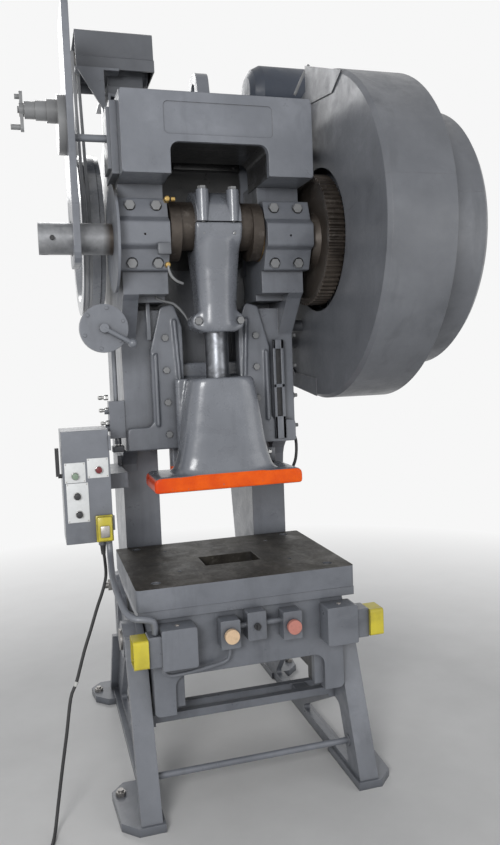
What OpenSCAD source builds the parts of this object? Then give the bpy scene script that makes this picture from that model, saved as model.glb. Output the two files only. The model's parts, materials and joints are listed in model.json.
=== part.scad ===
/* [Working sizes] */
// Stroke of the slide, twice the throw of the crank
stroke = 102; // [76:2:104]
// Height of the crankshaft axis above the floor
crank_z = 2080; // [2040:2:2140]
// Drop from the crankshaft axis to the top of the slide
rod_drop = 536; // [530:1:560]
// Height of the slide
slide_h = 429; // [400:1:450]
// Steepest angle that the frame leans back in its legs
incline_max = 25; // [15:1:25]

/* [Bed] */
// Height of the bed under the bolster plate
bed_z = 740; // [720:1:760]
// Thickness of the bolster plate
bolster_t = 80; // [60:1:90]
// Half width of the bolster plate
bolster_half = 411; // [390:1:430]
// Reach of the bolster plate in front of the die centre
bolster_front = 350; // [345:1:370]
// Width of the opening in the bolster plate
opening_w = 222; // [150:1:260]
// Depth of the opening in the bolster plate
opening_d = 136; // [90:1:150]
// Height of the lowest edge of the bed
skirt_z = 350; // [340:1:380]

/* [Frame] */
// Half width of the frame casting
frame_half = 362; // [350:1:380]
// Thickness of the frame's side walls
wall = 60; // [45:1:70]
// Depth of the throat behind the die centre
throat_y = 300; // [292:1:330]
// Half width of the open back between the columns
back_half = 210; // [190:1:230]
// Rearmost face of the frame
frame_back = 680; // [660:1:720]

/* [Legs] */
// Thickness of a leg across the press
leg_w = 75; // [60:1:90]
// Running gap between the frame and each leg
leg_gap = 8; // [6:1:12]
// Radius of the pins that the frame leans on
pivot_r = 28; // [20:1:32]
// Diameter of the round tie rod between the legs
tie_d = 24; // [18:1:30]

/* [Drive] */
// Gear module of the back gears
gear_module = 12; // [11:0.5:12]
// Teeth of the large gear on the crankshaft
bull_teeth = 70; // [66:1:70]
// Teeth of the pinion
pinion_teeth = 15; // [14:1:16]
// Face width of the large gear
gear_w = 100; // [70:1:110]
// Outer radius of the flywheel
flywheel_r = 340; // [300:1:350]
// Width of the flywheel rim
flywheel_w = 90; // [70:1:95]
// Radius of the crankshaft in its main bearings
journal_r = 70; // [60:1:75]
// Radius of the crankpin
pin_r = 92; // [80:1:95]
// Room between the pinion's teeth and the drum guard around them
drum_clear = 24; // [12:1:60]
// Radius of the small step of the drum guard
drum_small_r = 512; // [470:1:530]
// Sheet thickness of the drum guard
sheet = 6; // [4:0.5:8]

/* [Slide and pitman] */
// Radius of the adjusting screw
screw_r = 46; // [44:1:50]
// Half width of the slide at its top
slide_top_half = 128; // [120:1:140]
// Half width of the flange at the bottom of the slide
flange_half = 295; // [270:1:310]
// Bore for the shank of a die
shank_r = 25; // [19:0.5:32]

/* [Controls] */
// Radius of the palm buttons
palm_r = 28; // [24:1:32]
// Travel of a palm button
palm_travel = 7; // [4:1:8]
// Diameter of the power cord
cord_d = 12; // [10:1:14]

/* [Hidden] */
$fn = 48;

// Paint and metal colours
paint = [0.45, 0.46, 0.49];
dark_paint = [0.33, 0.34, 0.37];
steel = [0.62, 0.62, 0.63];
dark_steel = [0.2, 0.19, 0.18];
bronze = [0.65, 0.48, 0.25];
black = [0.08, 0.08, 0.08];
yellow = [0.85, 0.8, 0.1];

// Clearances
run = 0.05;
free = 0.4;

// Heights and places that follow from the driving sizes
throw = stroke / 2;
pin_z = crank_z + throw;
bolster_top = bed_z + bolster_t;
slide_top = crank_z - rod_drop;
slide_bottom = slide_top - slide_h;
head_z = crank_z - 823;
guide_top = crank_z - 230;
crown_z = crank_z + 208;
crown_top = crank_z + 498;
cap_out = frame_half + 15;
cap_in = 189;
cap_lo = crank_z - 124;
cap_hi = crank_z + 142;
bush_r = journal_r + 12;
guide_y = 125;
leg_in = frame_half + leg_gap;
leg_out = leg_in + leg_w;
leg_web = 26;
pivot = [-110, 570];
stud = [420, 630];
stud_r = 14;
stud_reach = norm(stud - pivot);
stud_angle = atan2(stud.y - pivot.y, stud.x - pivot.x);

// Back gears, drive shaft and belts
bull_r = gear_module * bull_teeth / 2;
pinion_r = gear_module * pinion_teeth / 2;
shaft_rise = 90;
shaft_gap = bull_r + pinion_r;
shaft_y = sqrt(shaft_gap * shaft_gap - shaft_rise * shaft_rise);
shaft_z = crank_z + shaft_rise;
shaft_r = 38;
drum_r = shaft_gap + pinion_r + gear_module + sheet + drum_clear;
mesh_angle = atan2(shaft_rise, shaft_y);
disc_t = 10;
flywheel_x = -(cap_out + 19);
ridge = 5;
groove_w = 13;
groove_r = flywheel_r - 15;
pulley_r = 52;
motor_y = 400;
motor_z = crank_z + 785;
guard_in = -(cap_out + 138);
guard_out = guard_in - 25;

// Drum guard on the right side
drum_x = frame_half + 80;
gear_x = drum_x + 35;
drum_mid = drum_x + 258;
drum_end = drum_x + 471;
drum_hole_r = 285;
seam_tilt = 11;
disc_r = 259;

// Slide guides
guide_half = 118;
wing_half = 175;
lip_w = 48;
wing_y0 = 156;
wing_y1 = 216;
gib_y0 = 95;

// Control boxes along the front of the bed
front_y = -340;
box_y = front_y - 84;

// Electric panel
panel_x0 = -626;
panel_x1 = -453;
panel_y0 = -105;
panel_y1 = 75;
panel_z0 = 951;
panel_z1 = 1370;

// Point where the cord leaves the panel, and its route to the floor
gland = [-488, -20, 920];
cord_route = [
    [-488, -20, 919.6], [-488, -20, 910], [-487.5, -22, 892], [-486, -44, 862], [-490, -100, 818],
    [-507, -128, 770],
    [-532, -150, 716], [-561, -176, 645], [-590, -200, 576], [-623, -216, 476], [-647, -230, 425],
    [-668, -258, 315], [-690, -282, 205], [-710, -306, 100], [-724, -335, 30], [-733, -375, 7.5],
    [-742, -420, 6.5], [-749.5, -470, 6.5], [-754.5, -520, 6.5], [-757, -560, 6.5],
    [-757.7, -600, 6.5]
];
coil_r = 78;
coil_at = [-860, -600];
coil_w = 36;
coil_h = 26;
plug_r = 20;

// Plain shapes placed by their two ends
module block(x0, x1, y0, y1, z0, z1) {
    translate([x0, y0, z0]) cube([x1 - x0, y1 - y0, z1 - z0]);
}
module rod_x(x0, x1, r, y, z) {
    translate([x0, y, z]) rotate([0, 90, 0]) cylinder(h = x1 - x0, r = r);
}
module rod_y(y0, y1, r, x, z) {
    translate([x, y0, z]) rotate([-90, 0, 0]) cylinder(h = y1 - y0, r = r);
}
module rod_z(z0, z1, r, x, y) {
    translate([x, y, z0]) cylinder(h = z1 - z0, r = r);
}

// Outline in the Y and Z directions, pushed along X
module along_x(x0, x1) {
    translate([x0, 0, 0]) rotate([90, 0, 90]) linear_extrude(x1 - x0) children();
}

// Outline in the X and Z directions, pushed along Y
module along_y(y0, y1) {
    translate([0, y1, 0]) rotate([90, 0, 0]) linear_extrude(y1 - y0) children();
}

// Profile of radius and height, turned about a line along X
module turned_x(y, z) {
    translate([0, y, z]) rotate([0, 90, 0]) rotate_extrude($fn = 96) children();
}
module both_sides() {
    children();
    mirror([1, 0, 0]) children();
}

// Corner points of an outline, each rounded to its own radius
function unit(v) = v / norm(v);
function corner(a, b, c, r, n) =
    let (u = unit(a - b), v = unit(c - b), opening = acos(u * v))
    let (middle = b + unit(u + v) * r / sin(opening / 2), reach = r / tan(opening / 2))
    let (s = b + u * reach - middle, e = b + v * reach - middle, sweep = 180 - opening)
    [for (i = [0:n]) middle + (s * sin(sweep * (1 - i / n)) + e * sin(sweep * i / n)) / sin(sweep)];
function rounded(points, radii, n = 5) =
    let (count = len(points))
    [for (i = [0:count - 1])
        let (before = points[(i + count - 1) % count], after = points[(i + 1) % count])
        each radii[i] == 0 ? [points[i]] : corner(before, points[i], after, radii[i], n)];
function arc(middle, r, a0, a1, n) =
    [for (i = [0:n]) let (a = a0 + (a1 - a0) * i / n) middle + r * [cos(a), sin(a)]];

module rounded_box(x0, x1, z0, z1, r) {
    polygon(rounded([[x0, z0], [x1, z0], [x1, z1], [x0, z1]], [r, r, r, r]));
}

// Involute gear outline with a tooth on the angle given
function inv(a) = tan(a) * 180 / PI - a;
function half_tooth(r, rp, teeth, play) =
    let (rb = rp * cos(20), rr = max(r, rb))
    90 / teeth - play / rp * 180 / PI + inv(20) - inv(acos(rb / rr));
module gear_outline(teeth, start, steps) {
    rp = gear_module * teeth / 2;
    tip = rp + 0.85 * gear_module;
    root = rp - 1.15 * gear_module;
    low = max(root + 1, rp * cos(20));
    play = 0.7;
    levels = [for (k = [0:steps]) low + (tip - low) * k / steps];
    polygon([for (i = [0:teeth - 1])
        let (a = start + 360 * i / teeth)
        each concat(
            [root * [cos(a - half_tooth(low, rp, teeth, play)), sin(a - half_tooth(low, rp, teeth, play))]],
            [for (r = levels)
                r * [cos(a - half_tooth(r, rp, teeth, play)), sin(a - half_tooth(r, rp, teeth, play))]],
            [for (k = [steps:-1:0]) let (r = levels[k])
                r * [cos(a + half_tooth(r, rp, teeth, play)), sin(a + half_tooth(r, rp, teeth, play))]],
            [root * [cos(a + half_tooth(low, rp, teeth, play)), sin(a + half_tooth(low, rp, teeth, play))]]
        )]);
}

// Stack of rounded cross sections joined into one closed body
function section(z, cx, cy, hx, hy, power, sides) =
    [for (i = [0:sides - 1]) let (a = 360 * i / sides, c = cos(a), s = sin(a))
        [cx + hx * sign(c) * pow(abs(c), 2 / power), cy + hy * sign(s) * pow(abs(s), 2 / power), z]];
module loft(sections, sides) {
    rings = len(sections);
    points = [for (s = sections) each section(s[0], s[1], s[2], s[3], s[4], s[5], sides)];
    skin = [for (k = [0:rings - 2]) for (i = [0:sides - 1])
        let (j = (i + 1) % sides)
        [k * sides + i, k * sides + j, (k + 1) * sides + j, (k + 1) * sides + i]];
    bottom = [for (i = [sides - 1:-1:0]) i];
    top = [for (i = [0:sides - 1]) (rings - 1) * sides + i];
    polyhedron(points, [for (f = concat(skin, [bottom, top])) [for (i = [len(f) - 1:-1:0]) f[i]]]);
}

// Tube swept along a route, with its cross section carried along without twist
function direction(route, i) =
    unit(route[min(i + 1, len(route) - 1)] - route[max(i - 1, 0)]);
function carried(route, i, u) =
    i == len(route) ? [] :
    let (t = direction(route, i), v = unit(u - (u * t) * t))
    concat([v], carried(route, i + 1, v));
module tube_along(route, d, sides) {
    rings = len(route);
    first = direction(route, 0);
    across = carried(route, 0, cross(first, abs(first.x) > 0.9 ? [0, 1, 0] : [1, 0, 0]));
    points = [for (i = [0:rings - 1])
        let (u = across[i], v = cross(direction(route, i), u))
        for (k = [0:sides - 1]) route[i] + d / 2 * (u * cos(360 * k / sides) + v * sin(360 * k / sides))];
    skin = [for (i = [0:rings - 2]) for (k = [0:sides - 1])
        let (j = (k + 1) % sides, a = i * sides, b = (i + 1) * sides)
        each [[a + k, b + k, b + j], [a + k, b + j, a + j]]];
    start = [for (k = [0:sides - 1]) k];
    end = [for (k = [sides - 1:-1:0]) (rings - 1) * sides + k];
    polyhedron(points, concat(skin, [start, end]));
}

// Smooth route through hand-chosen points
function spline(p, n) =
    [for (i = [0:len(p) - 2]) for (k = [0:n - 1])
        let (a = p[max(i - 1, 0)], b = p[i], c = p[i + 1], d = p[min(i + 2, len(p) - 1)], t = k / n)
        0.5 * (2 * b + (c - a) * t + (2 * a - 5 * b + 4 * c - d) * t * t
            + (3 * b - a - 3 * c + d) * t * t * t)];
function route_points(p, n) = concat(spline(p, n), [p[len(p) - 1]]);

// Legs with their feet, seen from the side
front_foot = -460;
rear_foot = 760;
lean = (-222 - front_foot) / 610;
function post_y(z) = front_foot + lean * z;
leg_outline = rounded(
    [[front_foot, 0], [post_y(610), 610], [-110, 655], [-30, 628], [322, 538],
        [364, 590], [364, 684], [478, 684], [486, 400], [rear_foot, 0]],
    [0, 40, 60, 60, 30, 30, 40, 40, 120, 0]);
leg_low_window = rounded(
    [[-345, 45], [-262, 250], [-215, 258], [180, 45]], [12, 30, 25, 12]);
leg_rear_window = rounded(
    [[-120, 262], [30, 330], [300, 330], [560, 45], [270, 45]], [20, 40, 60, 15, 15]);
leg_top_window = rounded(
    [[10, 400], [20, 545], [290, 470], [330, 400]], [25, 30, 30, 30]);

module slot_outline() {
    polygon(concat(
        arc(pivot, stud_reach - stud_r - 2, stud_angle + 2.4, stud_angle - incline_max - 2.4, 12),
        arc(pivot, stud_reach + stud_r + 2, stud_angle - incline_max - 2.4, stud_angle + 2.4, 12)));
}

module leg() {
    difference() {
        union() {
            along_x(leg_in, leg_in + leg_web) difference() {
                polygon(leg_outline);
                polygon(leg_low_window);
                polygon(leg_rear_window);
                polygon(leg_top_window);
            }
            along_x(leg_in, leg_out) polygon(
                [[front_foot, 0], [post_y(606), 606], [post_y(606) + 34, 606], [front_foot + 34, 0]]);
            along_x(leg_in, leg_out - 15) polygon(
                [[486, 380], [rear_foot, 0], [rear_foot - 40, 0], [452, 380]]);
            along_x(leg_in, leg_out - 25) polygon([[-430, 0], [-430, 34], [740, 34], [740, 0]]);
            rod_x(leg_in, leg_out, 68, pivot.x, pivot.y);
            along_x(leg_in, leg_in + leg_web + 14) difference() {
                polygon(rounded([[366, 375], [366, 682], [476, 682], [484, 375]], [30, 40, 40, 30]));
            }
            leg_foot(front_foot, -150);
            leg_foot(590, rear_foot + 40);
        }
        rod_x(leg_in - 1, leg_out + 1, pivot_r + run, pivot.x, pivot.y);
        along_x(leg_in - 1, leg_out + 1) slot_outline();
        for (y = foot_bolt_y) rod_z(-1, 40, foot_bolt_r + 1, foot_bolt_x, y);
        rod_x(leg_in - 1, leg_out + 1, tie_d / 2 + run, tie_y, tie_z);
        for (y = bar_bolt_y) rod_x(leg_in - 1, leg_out + 1, 8, y, bar_z);
    }
}

// Foot plate with cut corners
foot_bolt_r = 11;
foot_bolt_x = leg_out + 44;
foot_bolt_y = [-230, 700];
foot_t = 30;
module leg_foot(y0, y1) {
    cut = 55;
    linear_extrude(foot_t) polygon(
        [[leg_in - 10, y0], [leg_out + 8, y0], [leg_out + 8 + cut, y0 + cut],
            [leg_out + 20 + cut, y1 - cut], [leg_out + 28, y1], [leg_in - 10, y1]]);
}

tie_y = -341;
tie_z = 138;
bar_z = 285;
bar_h = 30;
bar_y = [-215, -135];
bar_bolt_y = [-200, -150];
bar_step = 12;

module leg_right() {
    color(paint) leg();
}
module leg_left() {
    color(paint) mirror([1, 0, 0]) leg();
}

// Round tie rod with a nut and washer outside each leg
module tie_rod() {
    color(paint) union() {
        rod_x(-(leg_in + leg_web + 38), leg_in + leg_web + 38, tie_d / 2, tie_y, tie_z);
        both_sides() {
            rod_x(leg_in + leg_web, leg_in + leg_web + 4, tie_d - 1, tie_y, tie_z);
            translate([leg_in + leg_web + 4, tie_y, tie_z]) rotate([0, 90, 0])
                cylinder(h = tie_d * 0.8, r = tie_d * 0.85, $fn = 6);
            rod_x(leg_in - 4, leg_in, tie_d - 1, tie_y, tie_z);
        }
    }
}

// Welded frame of two bars between the legs
module cross_frame() {
    color(paint) difference() {
        union() {
            for (y = bar_y)
                block(-leg_in, leg_in, y, y + bar_h, bar_z - bar_h / 2, bar_z + bar_h / 2);
            both_sides()
                block(leg_in - 24, leg_in, bar_y[0], bar_y[1] + bar_h, bar_z - 28, bar_z + bar_h / 2);
            block(leg_in - 150, leg_in - 95, bar_y[0] + bar_h, bar_y[1], bar_z - 12, bar_z + 12);
        }
        both_sides() for (y = bar_bolt_y) rod_x(leg_in - 40, leg_in + 1, 8, y, bar_z);
    }
}

// Anchor bolts in the feet, and the bolts of the cross frame
module anchor_bolts() {
    color(steel) both_sides() {
        for (y = foot_bolt_y) {
            rod_z(2, foot_t + 22, foot_bolt_r, foot_bolt_x, y);
            translate([foot_bolt_x, y, foot_t]) cylinder(h = 14, r = foot_bolt_r * 1.75, $fn = 6);
        }
        for (y = bar_bolt_y) {
            rod_x(leg_in - 24, leg_in + leg_web + 12, 7.9, y, bar_z);
            translate([leg_in + leg_web, y, bar_z]) rotate([0, 90, 0]) cylinder(h = 10, r = 14, $fn = 6);
        }
    }
}

// Outline of the frame from the side, from the bed round the throat to the crown
frame_outline = rounded(
    [[front_y, skirt_z], [front_y, bed_z], [throat_y, bed_z], [throat_y, head_z], [guide_y, head_z],
        [guide_y, crank_z - 370], [0, guide_top], [-30, guide_top + 20], [-30, cap_lo], [0, cap_lo],
        [0, crown_z], [-180, crown_z], [-180, crown_top], [350, crown_top], [560, crank_z + 400],
        [frame_back, crank_z + 120], [frame_back, 900], [600, 520], [430, skirt_z]],
    [25, 0, 10, 110, 0, 20, 20, 0, 0, 0, 0, 12, 25, 60, 80, 120, 200, 80, 60]);

// Front, inner and rear walls of each hollow column
module frame_ribs() {
    block(back_half, frame_half - 1, throat_y, throat_y + 46, bed_z - 20, head_z + 60);
    along_x(back_half, back_half + 30) polygon(
        [[throat_y, bed_z - 20], [throat_y, head_z + 60], [frame_back - 2, head_z + 60],
            [frame_back - 2, 960], [630, bed_z - 20]]);
    block(back_half, frame_half - 1, frame_back - 42, frame_back - 1, 960, crank_z + 60);
}

module frame_bed() {
    along_y(front_y, front_y + 48) difference() {
        rounded_box(-frame_half, frame_half, skirt_z, bed_z, 20);
        polygon(rounded(
            [[-285, skirt_z - 30], [285, skirt_z - 30], [285, 492], [-285, 492]], [0, 0, 42, 42]));
    }
    block(-frame_half, frame_half, front_y, throat_y + 260, bed_z - 62, bed_z);
    // Wide ledge under the bolster, thinner towards the rear so that the frame can lean
    along_x(-ledge_half, ledge_half) polygon(
        [[front_y - 8, bed_z], [front_y - 8, bed_z - 32], [150, bed_z - 32], [throat_y - 12, bed_z - 9],
            [throat_y - 12, bed_z]]);
    block(-(frame_half - wall), frame_half - wall, 520, 560, 470, bed_z - 10);
    both_sides() block(250, frame_half, front_y + 20, front_y + 90, skirt_z + 20, bed_z - 20);
}

module frame_head() {
    both_sides() {
        block(guide_half + 2, frame_half, guide_y, 260, head_z, guide_top - 30);
        block(cap_in, frame_half, 0, 190, cap_lo, crown_z + 20);
        block(cap_in, frame_half - 4, -30, 190, guide_top + 20, cap_lo);
        block(cap_in, frame_half, 60, 260, guide_top - 4, cap_lo + 5);
    }
    block(-(frame_half - wall) - 1, frame_half - wall + 1, 236, 276, head_z, crown_top - 59);
    along_y(-180, 110) difference() {
        rounded_box(-(frame_half - 4), frame_half - 4, crown_z, crown_top, 6);
        polygon(rounded(
            [[-186, crown_z - 20], [186, crown_z - 20], [186, crank_z + 322], [-186, crank_z + 322]],
            [0, 0, 34, 34]));
    }
    block(-(frame_half - 10), frame_half - 10, -100, 350, crown_top - 60, crown_top);
    block(-(frame_half - wall), frame_half - wall, 560, 600, crank_z + 60, crank_z + 330);
}

module main_frame() {
    color(paint) difference() {
        union() {
            both_sides() along_x(frame_half - wall, frame_half) polygon(frame_outline);
            both_sides() frame_ribs();
            frame_bed();
            frame_head();
            both_sides() rod_x(frame_half - wall - 60, frame_half, 85, shaft_y, shaft_z);
            both_sides() rod_x(frame_half, leg_in - 0.5, 62, pivot.x, pivot.y);
        }
        // Slide channel behind the guide plates
        block(-(wing_half + 2), wing_half + 2, wing_y0 - 1, wing_y1 + 1, head_z - 5, guide_top + 5);
        block(-(guide_half + lip_w), guide_half + lip_w, guide_y - 1, wing_y0, head_z - 5, guide_top + 5);
        // Main bearings, back shaft and pins
        rod_x(-frame_half - 1, frame_half + 1, bush_r, 0, crank_z);
        rod_x(-frame_half - 1, frame_half + 1, shaft_r + run, shaft_y, shaft_z);
        both_sides() rod_x(frame_half - wall - 1, leg_in + 1, pivot_r, pivot.x, pivot.y);
        both_sides() rod_x(frame_half - wall - 1, leg_in + 1, stud_r, stud.x, stud.y);
        // Opening through the bed under the bolster
        block(-opening_w / 2 - bed_ease, opening_w / 2 + bed_ease, opening_y - opening_d / 2 - bed_ease,
            opening_y + opening_d / 2 + bed_ease, bed_z - 80, bed_z + 1);
        // Shallow panel on the crown, left bare
        along_y(-181, -177) rounded_box(-205, 205, crown_top - 150, crown_top - 36, 16);
        // Tapped holes that hold the bolster, the caps and the guide plates
        for (x = bolster_bolt_x, y = bolster_bolt_y) rod_z(bed_z - 45, bed_z + 1, 10, x, y);
        for (p = cap_bolt_spots) rod_y(-1, 70, 12, p.x, p.y);
        for (p = gib_bolt_spots) rod_y(guide_y - 1, wing_y0 - 8, 8, p.x, p.y);
    }
}

bed_ease = 30;
ledge_half = 408;
bolster_bolt_x = [-330, 330];
bolster_bolt_y = [-280, 240];
cap_bolt_x = [cap_in + 42, cap_out - 48];
cap_bolt_z = [crank_z - 100, crank_z + 113];
cap_bolt_spots = [for (s = [-1, 1], x = cap_bolt_x, z = cap_bolt_z) [s * x, z]];
gib_bolt_x = guide_half + 72;
gib_bolt_z = [head_z + 60, head_z + 190, head_z + 320, head_z + 450];
gib_bolt_spots = [for (s = [-1, 1], z = gib_bolt_z) [s * gib_bolt_x, z]];

// Bolster plate with its opening and the holes for dies
opening_y = -58;
module bolster_plate() {
    color(dark_steel) difference() {
        translate([0, 0, bed_z]) linear_extrude(bolster_t) polygon(rounded(
            [[-bolster_half, -bolster_front], [bolster_half, -bolster_front],
                [bolster_half, throat_y - 12], [-bolster_half, throat_y - 12]], [16, 16, 10, 10]));
        block(-opening_w / 2, opening_w / 2, opening_y - opening_d / 2, opening_y + opening_d / 2,
            bed_z - 1, bolster_top + 1);
        for (x = bolster_bolt_x, y = bolster_bolt_y) {
            rod_z(bed_z - 1, bolster_top + 1, 11, x, y);
            rod_z(bolster_top - 24, bolster_top + 1, 18, x, y);
        }
        for (x = [-die_hole_x, die_hole_x], y = [-die_hole_y, die_hole_y])
            rod_z(bed_z + 20, bolster_top + 1, die_hole_r, x, y);
    }
}
die_hole_x = 220;
die_hole_y = 160;
die_hole_r = 8;

// Pins that the frame leans on, and the studs that clamp it
module frame_pins() {
    color(steel) both_sides() {
        rod_x(frame_half - wall - 10, leg_out + 6, pivot_r, pivot.x, pivot.y);
        rod_x(leg_out + 0.5, leg_out + 8, pivot_r + 12, pivot.x, pivot.y);
        rod_x(frame_half - wall - 10, leg_in + 86, stud_r, stud.x, stud.y);
        rod_x(leg_in + 40.5, leg_in + 47, 30, stud.x, stud.y);
        translate([leg_in + 47, stud.x, stud.y]) rotate([0, 90, 0]) cylinder(h = 24, r = 25, $fn = 6);
    }
}

// Bearing caps with slanted shoulders and spot faces for the bolts
function cap_seat(z) = z > crank_z ? -74 : -66;
cap_outline = rounded(
    [[-0.2, cap_lo], [-62, cap_lo], [-95, crank_z - 50], [-128, crank_z - 38], [-128, crank_z + 46],
        [-95, crank_z + 68], [-70, cap_hi], [-0.2, cap_hi]],
    [0, 10, 8, 14, 14, 8, 10, 0], 3);
module bearing_cap() {
    color(paint) difference() {
        along_x(cap_in, cap_out) polygon(cap_outline);
        rod_x(cap_in - 1, cap_out + 1, bush_r, 0, crank_z);
        for (x = cap_bolt_x, z = cap_bolt_z) {
            rod_y(-130, 1, 13, x, z);
            rod_y(-130, cap_seat(z), 22, x, z);
        }
        rod_y(-130, -60, 4, (cap_in + cap_out) / 2, crank_z);
    }
}
module bearing_cap_right() {
    bearing_cap();
}
module bearing_cap_left() {
    mirror([1, 0, 0]) bearing_cap();
}

// Bronze bushes of the main bearings
module main_bushes() {
    color(bronze) both_sides() difference() {
        rod_x(cap_in - 6, cap_out - 6, bush_r, 0, crank_z);
        rod_x(cap_in - 7, cap_out + 1, journal_r + run, 0, crank_z);
    }
}

// Bolts of the caps and of the guide plates, and the set screws of the guides
module hex_y(y0, y1, r, x, z) {
    translate([x, y0, z]) rotate([-90, 0, 0]) cylinder(h = y1 - y0, r = r, $fn = 6);
}
module frame_bolts() {
    color(steel) {
        for (p = cap_bolt_spots) {
            rod_y(cap_seat(p.y) - 8, 70, 12, p.x, p.y);
            hex_y(cap_seat(p.y) - 14, cap_seat(p.y), 19, p.x, p.y);
        }
        for (p = gib_bolt_spots) {
            rod_y(gib_y0 - 10, wing_y0 - 8, 8, p.x, p.y);
            hex_y(gib_y0 - 10, gib_y0, 14, p.x, p.y);
        }
        for (x = bolster_bolt_x, y = bolster_bolt_y) {
            rod_z(bed_z - 45, bolster_top - 6, 10, x, y);
            rod_z(bolster_top - 24, bolster_top - 6, 16, x, y);
        }
        for (z = gib_bolt_z) {
            rod_x(frame_half, frame_half + 26, 8, 160, z);
            translate([frame_half, 160, z]) rotate([0, 90, 0]) cylinder(h = 12, r = 15, $fn = 6);
        }
    }
}

// Guide plates in front of the slide's wings
gib_outline = rounded(
    [[guide_half, head_z], [frame_half - 6, head_z], [frame_half - 6, head_z + 92], [250, head_z + 92],
        [250, crank_z - 420], [205, crank_z - 250], [150, crank_z - 236], [guide_half, crank_z - 330]],
    [0, 8, 14, 30, 40, 18, 18, 30]);
module gib() {
    color(paint) difference() {
        union() {
            along_y(gib_y0, guide_y) polygon(gib_outline);
            block(guide_half, guide_half + lip_w - 0.3, guide_y - 1, wing_y0 - 0.2,
                head_z, guide_top - 60);
            along_y(gib_y0 - 14, gib_y0 + 1) polygon(rounded(
                [[guide_half + 4, head_z + 110], [guide_half + 16, head_z + 110],
                    [guide_half + 40, crank_z - 300], [guide_half + 26, crank_z - 300]], [4, 4, 4, 4]));
            along_y(gib_y0 - 14, gib_y0 + 1) polygon(rounded(
                [[226, head_z + 96], [240, head_z + 96], [240, crank_z - 440], [226, crank_z - 430]],
                [4, 4, 4, 4]));
        }
        for (p = gib_bolt_spots) rod_y(gib_y0 - 20, wing_y0 + 1, 9, abs(p.x), p.y);
    }
}
module gib_right() {
    gib();
}
module gib_left() {
    mirror([1, 0, 0]) gib();
}

// Belt guard on the left side: a tall narrow pan with a turned rim
guard_y0 = -130;
guard_y1 = 120;
guard_z0 = crank_z - 104;
guard_z1 = crank_z + 812;
guard_outline = rounded(
    [[guard_y0, guard_z0], [guard_y1, guard_z0], [guard_y1, guard_z1], [guard_y0, guard_z1]],
    [60, 60, 40, 25], 4);
guard_inside = rounded(
    [[guard_y0 + sheet, guard_z0 + sheet], [guard_y1 - sheet, guard_z0 + sheet],
        [guard_y1 - sheet, guard_z1 - sheet], [guard_y0 + sheet, guard_z1 - sheet]], [54, 54, 34, 19], 4);
bar_spots = [[-60, crank_z + 353], [70, crank_z + 390]];
module belt_guard() {
    color(paint) difference() {
        union() {
            along_x(guard_out, guard_in) difference() {
                polygon(guard_outline);
                polygon(guard_inside);
            }
            along_x(guard_out, guard_out + sheet) polygon(guard_outline);
            // Stand-off bars to a stepped flange on the crown
            for (p = bar_spots) rod_x(guard_out + 1, -frame_half - 10, 13, p.x, p.y);
            block(-frame_half - 26, -frame_half, -100, 100, crank_z + 220, crank_z + 480);
            block(-frame_half - 38, -frame_half - 25, -86, 40, crank_z + 240, crank_z + 460);
        }
        rod_x(guard_out - 1, guard_in + 1, 66, 0, crank_z);
        rod_x(guard_out - 1, guard_out + sheet + 1, 26, hub_y, hub_z);
    }
}
hub_y = 0;
hub_z = crank_z + 460;

// Bracket that carries the motor above the crown
shelf_z = crank_z + 638;
cover_z = crank_z + 720;
module motor_bracket() {
    color(paint) union() {
        block(-frame_half - 12, -140, motor_y - 112, motor_y + 112, shelf_z - 12, shelf_z);
        block(-350, -338, 250, 345, crown_top, shelf_z - 11);
        block(-338, -150, 333, 345, crown_top, shelf_z - 11);
        block(-355, -140, 250, 345, crown_top, crown_top + 12);
        // Cheek plate on the crown's side with its ledge and gusset
        block(-frame_half - 12, -frame_half, 236, 296, crown_top - 60, cover_z - 9);
        block(-frame_half - 112, -300, 236, 296, cover_z - 10, cover_z);
        translate([-frame_half - 11, 0, cover_z - 9]) along_y(236, 248)
            polygon([[0, -151], [0, 0], [-92, 0]]);
    }
}

// Motor body with its end bells, on a foot block
motor_r = 90;
motor_x0 = -362;
motor_x1 = -166;
module motor_housing() {
    color(dark_paint) difference() {
        union() {
            rod_x(motor_x0 + 16, motor_x1 - 16, motor_r, motor_y, motor_z);
            rod_x(motor_x0, motor_x1, motor_r - 12, motor_y, motor_z);
            block(motor_x0 + 14, motor_x1 - 14, motor_y - 100, motor_y + 100, shelf_z, shelf_z + 34);
            block(motor_x0 + 26, motor_x1 - 26, motor_y - 70, motor_y + 70, shelf_z + 33, motor_z - 50);
        }
        rod_x(motor_x0 - 1, motor_x1 + 1, 19 + run, motor_y, motor_z);
    }
}

// Box-shaped cover over the motor and its pulley, open below
cover_t = 4;
cover_x0 = -468;
cover_x1 = -154;
cover_out = rounded([[motor_y - 150, cover_z], [motor_y - 150, cover_z + 46], [motor_y - 135, cover_z + 54],
    [motor_y - 128, motor_z + 91], [motor_y - 100, motor_z + 103], [motor_y + 128, motor_z + 103],
    [motor_y + 150, motor_z + 60], [motor_y + 150, cover_z]], [0, 6, 4, 16, 16, 24, 16, 0]);
module motor_cover() {
    color(dark_paint) difference() {
        along_x(cover_x0, cover_x1) polygon(cover_out);
        block(cover_x0 - 1, cover_x1 - cover_t, motor_y - 120, motor_y + 120, cover_z - 1, motor_z + 95);
        block(cover_x0 - 1, cover_x1 - cover_t, motor_y - 142, motor_y + 142, cover_z - 1, cover_z + 38);
    }
}

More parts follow.
